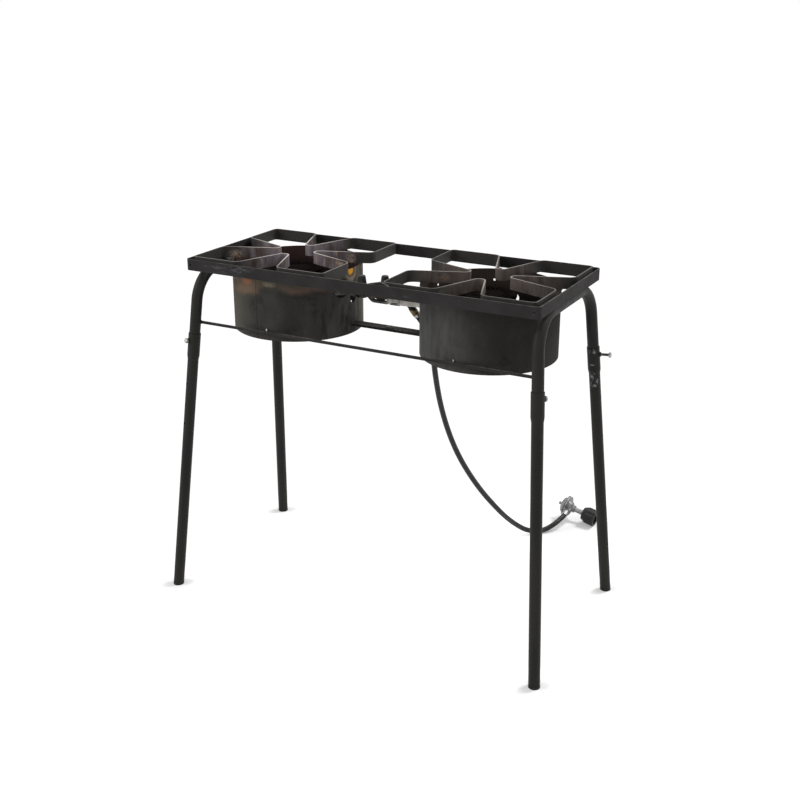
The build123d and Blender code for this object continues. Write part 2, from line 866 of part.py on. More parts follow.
with BuildPart() as valve_body:
    with BuildSketch(Plane.XZ.offset(-valve_back)):
        with Locations((valve_x, (valve_top + valve_bottom) / 2)):
            RectangleRounded(valve_width, valve_height, valve_round)
    extrude(amount=valve_depth)
    fillet(valve_body.faces().filter_by(Axis.Y).edges(), valve_edge_round)
    arm_way = (arm_end(1) - arm_end(-1)).normalized()
    arm_length = (arm_end(1) - arm_end(-1)).length + 2 * arm_radius
    with BuildSketch(axis_plane(arm_end(-1) - arm_way * arm_radius, arm_way)):
        Circle(arm_radius)
    extrude(amount=arm_length)
    for sign in sides.values():
        with BuildSketch(Plane(arm_end(sign))):
            Circle(bonnet_radius)
        extrude(amount=bonnet_length)
        bonnet_face = valve_body.faces(Select.LAST).filter_by(Axis.Z).sort_by(Axis.Z)[-1]
        fillet(bonnet_face.edges(), bonnet_round)
        with BuildSketch(Plane(bonnet_top(sign))):
            Circle(stem_radius + running_clearance)
        extrude(amount=-stem_depth, mode=Mode.SUBTRACT)
        with BuildSketch(axis_plane(jet_point(sign), tube_direction(sign))):
            Circle(jet_boss_radius)
        extrude(amount=tube_mouth[sign] - jet_hex_length)
    with BuildSketch(Plane.XZ.offset(-inlet_boss_end)):
        with Locations((valve_x, inlet_z)):
            Circle(elbow_radius)
    extrude(amount=inlet_boss_length + inlet_boss_sink)
save(valve_body.part, "valve_body")

def jet(sign):
    along = tube_direction(sign)
    with BuildPart() as orifice:
        with BuildSketch(axis_plane(tube_mouth_point(sign) - along * jet_hex_length, along)):
            RegularPolygon(hex_radius(jet_flats), 6)
        extrude(amount=jet_hex_length)
        with BuildSketch(axis_plane(tube_mouth_point(sign), along)):
            Circle(jet_nose_radius)
        extrude(amount=jet_nose_length)
        tip_face = orifice.faces().sort_by(Axis(jet_point(sign), along))[-1]
        chamfer(tip_face.edges(), jet_tip_chamfer)
    return orifice.part


def valve_stem(sign):
    # Plain spindle from inside the bonnet to well inside the knob
    depth = stem_depth - free_clearance
    with BuildPart() as stem:
        with BuildSketch(Plane(bonnet_top(sign) - Vector(0, 0, depth))):
            Circle(stem_radius)
        extrude(amount=depth + knob_gap + stem_in_knob)
    return stem.part


def valve_knob(sign):
    # Fluted upright knob, narrower and rounded at the top, blind bored for its spindle
    base = bonnet_top(sign) + Vector(0, 0, knob_gap)
    with BuildPart() as knob:
        with BuildSketch(Plane(base)):
            Circle(knob_radius)
        with BuildSketch(Plane(base + Vector(0, 0, knob_height))):
            Circle(knob_top_radius)
        loft()
        fillet(knob.faces().sort_by(Axis.Z)[-1].edges(), knob_round)
        with BuildSketch(Plane(base)):
            with PolarLocations(knob_radius + flute_radius - flute_depth, knob_flutes):
                Circle(flute_radius)
        extrude(amount=knob_height, mode=Mode.SUBTRACT)
        with BuildSketch(Plane(base)):
            Circle(stem_radius + weld_gap)
        extrude(amount=stem_in_knob, mode=Mode.SUBTRACT)
    return knob.part


for side, sign in sides.items():
    save(jet(sign), f"jet_{side}")
    save(valve_stem(sign), f"valve_stem_{side}")
    save(valve_knob(sign), f"knob_{side}")

# Gas inlet: nipple back from the valve, elbow, swivel nut and hose ferrule
elbow_start = elbow_corner_y - elbow_lead
elbow_corner = Vector(valve_x, elbow_corner_y, inlet_z)
with BuildPart() as inlet_nipple:
    with BuildSketch(Plane.XZ.offset(-inlet_boss_end)):
        with Locations((valve_x, inlet_z)):
            Circle(nipple_radius)
    extrude(amount=-(elbow_start - inlet_boss_end))
save(inlet_nipple.part, "inlet_nipple")

with BuildPart() as inlet_elbow:
    with BuildLine() as elbow_route:
        FilletPolyline(
            Vector(valve_x, elbow_start, inlet_z),
            elbow_corner,
            elbow_corner + hose_direction * elbow_leg,
            radius=elbow_bend_radius,
        )
    with BuildSketch(Plane(origin=elbow_route.line @ 0, z_dir=elbow_route.line % 0)):
        Circle(elbow_radius)
    sweep()
save(inlet_elbow.part, "inlet_elbow")

with BuildPart() as hose_nut:
    with BuildSketch(axis_plane(elbow_corner + hose_direction * elbow_leg, hose_direction)):
        RegularPolygon(hex_radius(hose_nut_flats), 6)
    extrude(amount=hose_nut_length)
save(hose_nut.part, "hose_nut")


def crimped_ferrule(start, along, length, rings):
    # A short turned sleeve with crimp grooves, each as wide as the ridges between them
    radius = hose_radius + ferrule_wall
    pitch = length / (2 * rings + 1)
    with BuildPart() as ferrule:
        with BuildSketch(axis_plane(start, along)):
            Circle(radius)
        extrude(amount=length)
        for ring in range(rings):
            with BuildSketch(axis_plane(start + along * ((2 * ring + 1) * pitch), along)):
                Circle(radius + ferrule_groove)
                Circle(radius - ferrule_groove, mode=Mode.SUBTRACT)
            extrude(amount=pitch, mode=Mode.SUBTRACT)
    return ferrule.part


upper_ferrule_start = elbow_corner + hose_direction * (elbow_leg + hose_nut_length)
upper_ferrule = crimped_ferrule(
    upper_ferrule_start, hose_direction, upper_ferrule_length, ferrule_rings["upper"]
)
save(upper_ferrule, "hose_ferrule_upper")
hose_start = upper_ferrule_start + hose_direction * upper_ferrule_length

# Regulator frame: its axis dips to the cylinder nut, which rests on the floor
regulator_level = Vector(sin(radians(regulator_turn)), -cos(radians(regulator_turn)), 0)
regulator_axis = Vector(1, 0, 0).rotate(Axis.Y, regulator_dip).rotate(Axis.Z, regulator_turn)
regulator_up = regulator_level.cross(regulator_axis)
port_way = regulator_level * cos(radians(port_roll)) - regulator_up * sin(radians(port_roll))
port_root = regulator_centre + regulator_axis * port_at
hose_end = port_root + port_way * (hose_port_reach + lower_ferrule_length)

# Hose route: out of the ferrule, down behind the guard, in to the regulator's port
cord_share = 0.45
first_run = 59.0
last_run = 34.0
hose_points = [
    hose_start,
    hose_start + hose_direction * first_run,
    Vector(79.8, 62.0, 568.2),
    Vector(73.9, 118.0, 435.6),
    Vector(84.2, 180.0, 309.6),
    Vector(112.3, 250.0, 193.9),
    Vector(148.9, 320.8, 98.4),
    Vector(166.5, 374.4, 46.0),
    Vector(195.7, 409.3, 12.6),
    Vector(230.1, 438.3, 7.7),
    hose_end + port_way * last_run,
    hose_end,
]


def cord_radii(points):
    # The largest arc that each corner's two runs allow
    radii = []
    for before, at, after in zip(points, points[1:], points[2:]):
        run_in = at - before
        run_out = after - at
        half_turn = radians(run_in.get_angle(run_out)) / 2
        radii.append(cord_share * min(run_in.length, run_out.length) / tan(half_turn))
    return radii


hose_radii = cord_radii(hose_points)
with BuildPart() as hose:
    with BuildLine() as hose_route:
        FilletPolyline(*hose_points, radius=hose_radii)
    with BuildSketch(Plane(origin=hose_route.line @ 0, z_dir=hose_route.line % 0)):
        Circle(hose_radius)
    sweep()
save(hose.part, "hose")
hose_length = sum(edge.length for edge in hose_route.edges())
hose_section = pi * hose_radius**2
print("hose bend radii", [round(radius, 1) for radius in hose_radii])
print("hose length", round(hose_length, 1))
print("hose volume ratio", round(hose.part.volume / (hose_section * hose_length), 4))

lower_ferrule = crimped_ferrule(hose_end, port_way * -1, lower_ferrule_length, ferrule_rings["lower"])
save(lower_ferrule, "hose_ferrule_lower")


# Regulator, turned about its axis
def regulator_point(distance):
    return regulator_centre + regulator_axis * distance


regulator_profile = Plane(
    origin=regulator_centre, x_dir=regulator_up, z_dir=regulator_up.cross(regulator_axis)
)
regulator_turning = Axis(regulator_centre, regulator_axis)
half_diaphragm = diaphragm_thickness / 2
screw_ring = flange_radius - screw_edge


def regulator_screw_holes():
    with BuildSketch(axis_plane(regulator_point(-flange_radius), regulator_axis)) as screw_holes:
        with PolarLocations(screw_ring, regulator_screw_count):
            Circle(screw_radius + weld_gap)
    extrude(screw_holes.sketch, amount=2 * flange_radius, mode=Mode.SUBTRACT)


with BuildPart() as regulator_body:
    with BuildSketch(regulator_profile):
        with BuildLine():
            Polyline(
                (0, half_diaphragm),
                (flange_radius, half_diaphragm),
                (flange_radius, half_diaphragm + flange_thickness),
                (regulator_body_radius, half_diaphragm + flange_thickness),
                (regulator_shoulder_radius, regulator_body_depth - regulator_shoulder_drop),
                (regulator_neck_radius, regulator_body_depth),
                (regulator_neck_radius, inlet_stem_start),
                (0, inlet_stem_start),
                close=True,
            )
        make_face()
    revolve(axis=regulator_turning)
    with BuildSketch(axis_plane(port_root, port_way)):
        Circle(hose_port_radius)
    extrude(amount=hose_port_reach)
    with BuildSketch(axis_plane(port_root + port_way * port_hex_start, port_way)):
        RegularPolygon(hex_radius(port_hex_flats), 6)
    extrude(amount=port_hex_length)
    with BuildSketch(axis_plane(regulator_point(half_diaphragm), regulator_axis)):
        Circle(regulator_cavity_radius)
    extrude(amount=regulator_cavity_depth, mode=Mode.SUBTRACT)
    regulator_screw_holes()
save(regulator_body.part, "regulator_body")

with BuildPart() as regulator_cover:
    cover_plane = axis_plane(regulator_point(-half_diaphragm), regulator_axis * -1)
    with BuildSketch(cover_plane):
        Circle(cover_radius)
    extrude(amount=cover_depth)
    fillet(regulator_cover.faces().sort_by(regulator_turning)[0].edges(), cover_round)
    with BuildSketch(cover_plane):
        Circle(flange_radius)
    extrude(amount=cover_flange)
    with BuildSketch(cover_plane):
        Circle(vent_radius)
    extrude(amount=vent_reach)
    with BuildSketch(cover_plane):
        Circle(cover_radius - 2 * cover_wall)
    extrude(amount=cover_depth - cover_wall, mode=Mode.SUBTRACT)
    regulator_screw_holes()
save(regulator_cover.part, "regulator_cover")

with BuildPart() as regulator_diaphragm:
    with BuildSketch(axis_plane(regulator_point(-half_diaphragm), regulator_axis)):
        Circle(flange_radius - diaphragm_inset)
    extrude(amount=diaphragm_thickness)
    regulator_screw_holes()
save(regulator_diaphragm.part, "regulator_diaphragm")

with BuildPart() as regulator_screws:
    head_seat = -half_diaphragm - cover_flange
    with BuildSketch(axis_plane(regulator_point(head_seat - screw_head_height), regulator_axis)):
        with PolarLocations(screw_ring, regulator_screw_count):
            Circle(screw_head_radius)
    extrude(amount=screw_head_height)
    with BuildSketch(axis_plane(regulator_point(head_seat), regulator_axis)):
        with PolarLocations(screw_ring, regulator_screw_count):
            Circle(screw_radius)
    extrude(amount=-head_seat + half_diaphragm + flange_thickness)
save(regulator_screws.part, "regulator_screws")

# Inlet stem with the collar that keeps the cylinder nut on it
collar_start = nut_start + nut_back_wall + free_clearance
collar_end = collar_start + collar_thickness
with BuildPart() as regulator_stem:
    with BuildSketch(regulator_profile):
        with BuildLine():
            Polyline(
                (0, inlet_stem_start),
                (inlet_stem_radius, inlet_stem_start),
                (inlet_stem_radius, collar_start),
                (collar_radius, collar_start),
                (collar_radius, collar_end),
                (0, collar_end),
                close=True,
            )
        make_face()
    revolve(axis=regulator_turning)
save(regulator_stem.part, "regulator_stem")

# Cylinder nut: a lobed hand nut that turns on the stem, with a pocket for the collar
with BuildPart() as cylinder_nut:
    nut_end = nut_start + nut_length
    with BuildSketch(regulator_profile):
        with BuildLine():
            Polyline(
                (0, nut_start),
                (nut_back_radius, nut_start),
                (nut_radius, nut_start + nut_taper),
                (nut_radius, nut_end),
                (0, nut_end),
                close=True,
            )
        make_face()
    revolve(axis=regulator_turning)
    with BuildSketch(axis_plane(regulator_point(nut_start), regulator_axis)):
        with PolarLocations(nut_radius + lobe_cut_radius - lobe_cut_depth, nut_lobes):
            Circle(lobe_cut_radius)
    extrude(amount=nut_length, mode=Mode.SUBTRACT)
    with BuildSketch(axis_plane(regulator_point(collar_end + free_clearance), regulator_axis)):
        Circle(nut_bore_radius)
    extrude(amount=nut_length, mode=Mode.SUBTRACT)
    with BuildSketch(axis_plane(regulator_point(nut_start + nut_back_wall), regulator_axis)):
        Circle(collar_radius + free_clearance)
    extrude(amount=nut_length, mode=Mode.SUBTRACT)
    with BuildSketch(axis_plane(regulator_point(nut_start), regulator_axis)):
        Circle(inlet_stem_radius + running_clearance)
    extrude(amount=nut_length, mode=Mode.SUBTRACT)
save(cylinder_nut.part, "cylinder_nut")
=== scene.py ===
import math

import bpy
import numpy as np
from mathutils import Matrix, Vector


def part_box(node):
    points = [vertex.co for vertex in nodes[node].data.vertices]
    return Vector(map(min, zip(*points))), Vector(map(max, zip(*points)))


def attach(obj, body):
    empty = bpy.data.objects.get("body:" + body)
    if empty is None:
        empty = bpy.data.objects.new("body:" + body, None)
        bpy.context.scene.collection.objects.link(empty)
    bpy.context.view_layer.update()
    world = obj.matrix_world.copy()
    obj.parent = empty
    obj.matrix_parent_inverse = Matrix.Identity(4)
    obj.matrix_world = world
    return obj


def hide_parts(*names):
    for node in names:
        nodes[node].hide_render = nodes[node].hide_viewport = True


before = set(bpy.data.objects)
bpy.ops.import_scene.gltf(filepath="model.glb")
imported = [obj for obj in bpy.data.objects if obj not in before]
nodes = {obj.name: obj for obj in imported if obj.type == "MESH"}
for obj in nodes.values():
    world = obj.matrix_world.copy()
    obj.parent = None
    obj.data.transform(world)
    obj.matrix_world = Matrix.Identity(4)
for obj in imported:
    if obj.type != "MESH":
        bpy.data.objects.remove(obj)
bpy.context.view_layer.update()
sides = {"left": -1, "right": 1}
corners = ("lf", "rf", "lb", "rb")
print("frame loaded,", len(nodes), "nodes")


def middle(node):
    low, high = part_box(node)
    return (low + high) / 2


def linked(name, data):
    item = bpy.data.objects.new(name, data)
    bpy.context.scene.collection.objects.link(item)
    return item


def point(item, place, direction):
    # Sets a camera or a lamp at a place, looking along a direction
    item.location = place
    item.rotation_mode = "QUATERNION"
    item.rotation_quaternion = direction.to_track_quat("-Z", "Y")


burner = {side: middle(f"burner_lid_{side}") for side in sides}
guardLow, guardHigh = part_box("wind_guard_left")
guardRadius = (guardHigh.x - guardLow.x) / 2
guardTop = guardHigh.z

# Camera at the photograph's viewing angle
cameraLook = {
    "place": (1.1973, -2.2040, 1.4251),
    "azimuth": 28.007,
    "elevation": 20.470,
    "lens": 52.0,
    "sensor": 36.0,
    "clip": 60.0,
}


def makeCamera(look):
    azimuth, elevation = math.radians(look["azimuth"]), math.radians(look["elevation"])
    level = math.cos(elevation)
    data = bpy.data.cameras.new("camera")
    data.sensor_width = look["sensor"]
    data.lens = look["lens"]
    data.clip_end = look["clip"]
    camera = linked("camera", data)
    ahead = Vector((-math.sin(azimuth) * level, math.cos(azimuth) * level, -math.sin(elevation)))
    point(camera, look["place"], ahead)
    bpy.context.scene.camera = camera


makeCamera(cameraLook)

# Gas hose: the part's own route, in metres, as one smooth spline that comes to rest on the floor
hoseLook = {
    "radius": 0.0067,
    "length": 0.939,
    "steps": 16,
    "roundness": 6,
    "route": [
        (0.05545, 0.03038, 0.68937),
        (0.08849, 0.04189, 0.64187),
        (0.0798, 0.0620, 0.5682),
        (0.0739, 0.1180, 0.4356),
        (0.0842, 0.1800, 0.3096),
        (0.1123, 0.2500, 0.1939),
        (0.1489, 0.3208, 0.0984),
        (0.1665, 0.3744, 0.0460),
        (0.1924, 0.4154, 0.0100),
        (0.2264, 0.4452, 0.0048),
        (0.25378, 0.47875, 0.02348),
        (0.25783, 0.51201, 0.02928),
    ],
    "carried": [
        "hose_ferrule_lower", "regulator_body", "regulator_cover", "regulator_diaphragm",
        "regulator_screws", "regulator_stem", "cylinder_nut",
    ],
}


def makeHose(look):
    curve = bpy.data.curves.new("gas_hose", "CURVE")
    curve.dimensions = "3D"
    spline = curve.splines.new("NURBS")
    count = len(look["route"])
    spline.points.add(count - 1)
    spline.points.foreach_set("co", np.c_[look["route"], np.ones(count)].ravel())
    spline.points.foreach_set("radius", [look["radius"]] * count)
    spline.order_u = 3  # set after the points, or the runs stay straight
    spline.use_endpoint_u = True
    curve.resolution_u = look["steps"]
    curve.bevel_depth = 1.0  # times each point's radius, which also sets the curve's box
    curve.bevel_resolution = look["roundness"]
    curve.use_fill_caps = True
    hose = linked("gas_hose", curve)
    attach(hose, "stove")
    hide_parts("hose")
    return hose


hose = makeHose(hoseLook)
print("camera and hose made")


# Materials
class Signal:  # one socket of a material; operators on values add Math nodes
    def __init__(self, tree, socket=None):
        self.tree = tree
        self.socket = socket

    def make(self, kind, settings=None, values=None, out=0):
        node = self.tree.nodes.new(kind)
        for key, value in (settings or {}).items():
            if key == "stops":
                ramp = node.color_ramp
                while len(ramp.elements) < len(value):
                    ramp.elements.new(1.0)
                for element, (place, colour) in zip(ramp.elements, value):
                    element.position = place
                    element.color = colour
            else:
                setattr(node, key, value)
        for key, value in (values or {}).items():
            if isinstance(value, Signal):
                self.tree.links.new(value.socket, node.inputs[key])
            else:
                node.inputs[key].default_value = value
        return Signal(self.tree, node.outputs[out])

    def maths(self, operation, *values):
        return self.make("ShaderNodeMath", {"operation": operation}, dict(enumerate(values)))

    def __add__(self, other):
        return self.maths("ADD", self, other)

    def __sub__(self, other):
        return self.maths("SUBTRACT", self, other)

    def __rsub__(self, other):
        return self.maths("SUBTRACT", other, self)

    def __mul__(self, other):
        return self.maths("MULTIPLY", self, other)

    def __truediv__(self, other):
        return self.maths("DIVIDE", self, other)

    __radd__ = __add__
    __rmul__ = __mul__

    def size(self):
        return self.maths("ABSOLUTE", self)

    def root(self):
        return self.maths("SQRT", self)

    def larger(self, other):
        return self.maths("MAXIMUM", self, other)


def tone(red, green, blue):
    # A screen colour from 0 to 255 as the linear colour that a shader takes
    part = np.array([red, green, blue]) / 255
    line = np.where(part <= 0.04045, part / 12.92, ((part + 0.055) / 1.055) ** 2.4)
    return (*[float(value) for value in line], 1.0)


def grey(level):
    return (level, level, level, 1.0)


def objectPlace(start):
    return start.make("ShaderNodeTexCoord", out=3)


def vectorMaths(operation, first, second):
    return first.make("ShaderNodeVectorMath", {"operation": operation}, {0: first, 1: second})


def axesOf(vector):
    made = vector.make("ShaderNodeSeparateXYZ", values={0: vector})
    return [Signal(vector.tree, made.socket.node.outputs[index]) for index in range(3)]


def facing(start):
    return axesOf(start.make("ShaderNodeNewGeometry", out=1))


def distance(vector, centre):
    settings = {"operation": "DISTANCE"}
    return vector.make("ShaderNodeVectorMath", settings, {0: vector, 1: centre}, out=1)


def rise(value, low, high):
    # 0 below low, 1 above high, smooth between
    values = {"Value": value, "From Min": low, "From Max": high}
    return value.make("ShaderNodeMapRange", {"interpolation_type": "SMOOTHSTEP"}, values)


def noise(vector, scale, detail=4.0, rough=0.55, warp=0.0, stretch=None):
    if stretch:
        vector = vectorMaths("MULTIPLY", vector, stretch)
    values = {"Vector": vector, "Scale": scale, "Detail": detail, "Roughness": rough, "Distortion": warp}
    return vector.make("ShaderNodeTexNoise", values=values)


def patches(vector, low, high, **pattern):
    # Noise as patches: 0 where it is under low, 1 where it is over high
    return rise(noise(vector, **pattern), low, high)


def upFacing(start, low=0.6, high=0.9):
    # 1 on faces that look up, by the height of their normal
    return rise(facing(start)[2], low, high)


def mixed(factor, first, second):
    values = {0: factor, 6: first, 7: second}
    return factor.make("ShaderNodeMix", {"data_type": "RGBA"}, values, out=2)


def ramp(value, stops):
    return value.make("ShaderNodeValToRGB", {"stops": stops}, {0: value})


def spot(vector, centre, size, core=0.35):
    # 1 in the core of an ellipsoid of the given half sizes, 0 outside it
    away = vectorMaths("DIVIDE", vectorMaths("SUBTRACT", vector, centre), size)
    reach = vector.make("ShaderNodeVectorMath", {"operation": "LENGTH"}, {0: away}, out=1)
    return 1 - rise(reach, core, 1.0)


def spots(vector, places):
    found = spot(vector, *places[0])
    for centre, size in places[1:]:
        found = found.larger(spot(vector, centre, size))
    return found


def finish(name, colouring, specular=0.3):
    # One material: colouring gives back base colour, roughness, metalness, height and its depth
    material = bpy.data.materials.new(name)
    material.use_nodes = True
    tree = material.node_tree
    shader = next(node for node in tree.nodes if node.type == "BSDF_PRINCIPLED")
    base, roughness, metalness, height, depth = colouring(Signal(tree))
    for key, value in (("Base Color", base), ("Roughness", roughness), ("Metallic", metalness)):
        if isinstance(value, Signal):
            tree.links.new(value.socket, shader.inputs[key])
        else:
            shader.inputs[key].default_value = value
    bump = height.make("ShaderNodeBump", values={"Strength": 1.0, "Distance": depth, "Height": height})
    tree.links.new(bump.socket, shader.inputs["Normal"])
    shader.inputs["Specular IOR Level"].default_value = specular
    return material


# In each look, a pattern is the noise's settings, with the levels where patches start and are full
frameLook = {
    "body": tone(44, 42, 42),
    "faded": tone(57, 55, 55),
    # Paler tone of the top faces: a painted highlight mixed with wear
    "pale": tone(104, 100, 96),
    "scuffed": tone(92, 91, 96),
    "clouds": {"scale": 11.0, "detail": 5.0, "low": 0.35, "high": 0.7},
    "drag": {
        "scale": 60.0, "detail": 8.0, "rough": 0.7, "stretch": (1.0, 1.0, 4.0), "low": 0.46, "high": 0.66,
    },
    "handling": {"scale": 5.0, "detail": 2.0, "low": 0.55, "high": 0.7},
    "edgeWearAndHighlight": {"scale": 40.0, "low": 0.4, "high": 0.65},
    "grain": {"scale": 900.0, "detail": 2.0},
    "depth": 0.00025,
    "paleMarks": [
        ((-0.279, -0.180, 0.806), (0.048, 0.010, 0.014)),
        ((-0.345, -0.180, 0.803), (0.040, 0.010, 0.007)),
        ((0.120, -0.180, 0.796), (0.030, 0.010, 0.006)),
    ],
}


def framePaint(start):
    # Matte black with cloudy fading, top faces painted paler as a painted highlight broken up by edge wear,
    # and dragged scuffs along the rail
    look = frameLook
    place = objectPlace(start)
    cloud = patches(place, **look["clouds"])
    colour = mixed(cloud, look["body"], look["faded"])
    worn = (patches(place, **look["handling"]) * 0.5).larger(spots(place, look["paleMarks"]))
    scuff = patches(place, **look["drag"]) * worn
    colour = mixed(scuff * 0.8, colour, look["scuffed"])
    # Painted highlight: faces that look up are painted paler, more where the edge wear pattern is high
    pale = upFacing(start) * (0.2 + 0.5 * patches(place, **look["edgeWearAndHighlight"]))
    colour = mixed(pale, colour, look["pale"])
    height = noise(place, **look["grain"]) + 0.6 * scuff
    return colour, 0.5 + 0.25 * cloud, 0.0, height, look["depth"]


barLook = {
    "body": tone(30, 28, 27),
    "faded": tone(42, 40, 38),
    "edge": tone(92, 89, 84),
    "edgeBand": (0.0036, 0.0008),  # metres in from the edge where the painted highlight and the wear start and are full
    "clouds": {"scale": 26.0, "detail": 5.0, "stretch": (0.4, 1.0, 1.0), "low": 0.35, "high": 0.7},
    "edgeWearAndHighlight": {"scale": 60.0, "low": 0.38, "high": 0.62},
    "grain": {"scale": 700.0, "detail": 2.0},
    "depth": 0.00025,
}


def barPaint(start):
    # Sooty flat bar whose long top edges are painted pale, a painted highlight mixed with rubbed wear
    look = barLook
    low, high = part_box("burner_bar")
    half = (high.y - low.y) / 2
    inner, outer = look["edgeBand"]
    place = objectPlace(start)
    cloud = patches(place, **look["clouds"])
    colour = mixed(cloud, look["body"], look["faded"])
    aside = (axesOf(place)[1] - middle("burner_bar").y).size()
    # Painted highlight: the up-facing strips along the long edges are painted paler, varied by the wear
    # pattern
    edge = rise(aside, half - inner, half - outer) * upFacing(start)
    colour = mixed(edge * (0.4 + 0.5 * patches(place, **look["edgeWearAndHighlight"])), colour, look["edge"])
    return colour, 0.5 + 0.2 * cloud, 0.0, noise(place, **look["grain"]), look["depth"]


legLook = {
    "body": tone(32, 31, 30),
    "faded": tone(43, 42, 40),
    "bare": tone(168, 166, 166),
    "dust": tone(70, 67, 64),
    "runs": {"scale": 9.0, "stretch": (3.0, 3.0, 0.6), "low": 0.35, "high": 0.7},
    "dusting": {
        "scale": 180.0, "detail": 6.0, "rough": 0.65, "stretch": (1.0, 1.0, 0.35), "low": 0.63, "high": 0.74,
    },
    "scratches": {
        "scale": 120.0, "detail": 5.0, "rough": 0.6, "warp": 1.2, "stretch": (1.4, 1.4, 0.7),
        "low": 0.54, "high": 0.62,
    },
    "grain": {"scale": 700.0, "detail": 2.0},
    "depth": 0.0002,
    "scuffs": [
        ((0.430, 0.161, 0.556), (0.016, 0.016, 0.026)),
        ((0.429, 0.153, 0.627), (0.012, 0.012, 0.010)),
    ],
    "flecks": [
        ((0.4275, 0.1615, 0.5665), (0.0055, 0.006, 0.0055)),
        ((0.4345, 0.1635, 0.5455), (0.0055, 0.006, 0.0045)),
        ((0.4315, 0.1540, 0.6260), (0.0045, 0.006, 0.0045)),
        ((0.4280, 0.1560, 0.5955), (0.0080, 0.006, 0.0022)),
        ((0.4266, -0.2005, 0.523), (0.004, 0.006, 0.0035)),
        ((0.4268, -0.2005, 0.514), (0.004, 0.006, 0.0035)),
        ((0.452, -0.222, 0.372), (0.004, 0.008, 0.004)),
        ((-0.452, -0.222, 0.330), (0.004, 0.008, 0.005)),
    ],
}


def legPaint(start):
    # Smooth black paint, faint run marks down the tube, bare metal where a clamp has scraped it
    look = legLook
    place = objectPlace(start)
    cloud = patches(place, **look["runs"])
    colour = mixed(cloud, look["body"], look["faded"])
    colour = mixed(patches(place, **look["dusting"]) * 0.5, colour, look["dust"])
    scratch = patches(place, **look["scratches"]) * spots(place, look["scuffs"])
    scratch = scratch.larger(spots(place, look["flecks"]) * 0.5)
    colour = mixed(scratch, colour, look["bare"])
    height = noise(place, **look["grain"]) - 0.5 * scratch
    return colour, 0.42 + 0.2 * cloud, 0.0, height, look["depth"]


grateLook = {
    "paint": tone(46, 44, 41),
    "ragged": {"scale": 16.0, "detail": 5.0, "rough": 0.6},
    "streaks": {"scale": 62.0, "detail": 6.0, "rough": 0.64, "warp": 0.4, "stretch": (1.0, 1.0, 0.32)},
    "flakes": {"scale": 210.0, "detail": 6.0, "rough": 0.7, "low": 0.34, "high": 0.68},
    "grain": {"scale": 420.0, "detail": 5.0, "rough": 0.6, "stretch": (1.0, 1.0, 2.5)},
    "depth": 0.0003,
    "tipReach": (0.050, 0.085),
    "left": {
        "heat": [
            (0.30, tone(46, 37, 34)), (0.40, tone(82, 69, 65)), (0.46, tone(104, 91, 87)),
            (0.52, tone(112, 102, 109)), (0.57, tone(126, 121, 130)), (0.63, tone(164, 140, 114)),
            (0.70, tone(206, 194, 184)),
        ],
        "edge": tone(206, 198, 190),
        "tip": tone(172, 163, 170),
        "flake": tone(178, 156, 136),
        "reach": (0.085, 0.165),
        "flaked": [
            ((-0.121, 0.034, 0.803), (0.016, 0.012, 0.016)),
            ((-0.104, -0.045, 0.806), (0.030, 0.014, 0.016)),
            ((-0.384, -0.045, 0.800), (0.030, 0.014, 0.014)),
            ((-0.340, 0.032, 0.808), (0.020, 0.012, 0.014)),
        ],
    },
    "right": {
        "heat": [
            (0.30, tone(52, 45, 42)), (0.42, tone(82, 73, 69)), (0.52, tone(100, 90, 86)),
            (0.62, tone(114, 103, 96)), (0.74, tone(138, 122, 108)),
        ],
        "edge": tone(142, 134, 127),
        "tip": tone(122, 111, 105),
        "flake": tone(146, 118, 92),
        "reach": (0.095, 0.180),
        "flaked": [
            ((0.286, 0.052, 0.806), (0.020, 0.012, 0.012)),
            ((0.150, -0.030, 0.804), (0.018, 0.012, 0.012)),
        ],
    },
}


def grateSteel(side):
    look = grateLook[side]

    def colouring(start):
        # Bare strap: burnt clean and tinted in upright streaks near the flame, painted by its corners, with a
        # painted highlight on its top faces
        place = objectPlace(start)
        x, y = axesOf(place)[:2]
        across = x - burner[side].x
        away = (across * across + y * y).root()
        ragged = noise(place, **grateLook["ragged"])
        streak = noise(place, **grateLook["streaks"])
        burnt = 1 - rise(away + (ragged - 0.5) * 0.09, *look["reach"])
        tint = ramp(streak * 0.75 + ragged * 0.25, look["heat"])
        colour = mixed(burnt, grateLook["paint"], tint)
        tip = 1 - rise(away + (streak - 0.5) * 0.08, *grateLook["tipReach"])
        colour = mixed(tip * 0.5, colour, look["tip"])
        flaked = spots(place, look["flaked"]) * patches(place, **grateLook["flakes"])
        colour = mixed(flaked * 0.8, colour, look["flake"])
        # Painted highlight: faces that look up are painted paler, most where the strap is burnt clean
        edge = upFacing(start) * (0.25 + 0.6 * burnt)
        colour = mixed(edge, colour, look["edge"])
        height = noise(place, **grateLook["grain"]) + 0.5 * flaked
        return colour, 0.62 - 0.18 * burnt, 0.2 * burnt, height, grateLook["depth"]

    return colouring


guardLook = {
    "body": tone(50, 48, 46),
    "faded": tone(68, 66, 63),
    # Soot tone, also used as painted shade on the side of a guard turned from the light
    "sootAndShade": tone(32, 29, 27),
    # Pale ash tone, also used as a painted highlight on the side of the left guard that faces the light
    "ashAndHighlight": tone(108, 104, 94),
    "inside": tone(13, 8, 6),
    "baked": {"left": tone(66, 50, 47), "right": tone(60, 53, 47)},
    "bakedBand": (0.070, 0.012),  # metres under the rim where it starts and is full
    "bakedWander": {"scale": 12.0},
    "clouds": {
        "scale": 14.0, "detail": 6.0, "rough": 0.6, "stretch": (1.0, 1.0, 0.6), "low": 0.35, "high": 0.72,
    },
    "sooting": {"scale": 22.0, "detail": 6.0, "rough": 0.65, "low": 0.54, "high": 0.7},
    "flecks": {"scale": 160.0, "rough": 0.6, "low": 0.66, "high": 0.74},
    "grain": {"scale": 520.0, "detail": 3.0},
}


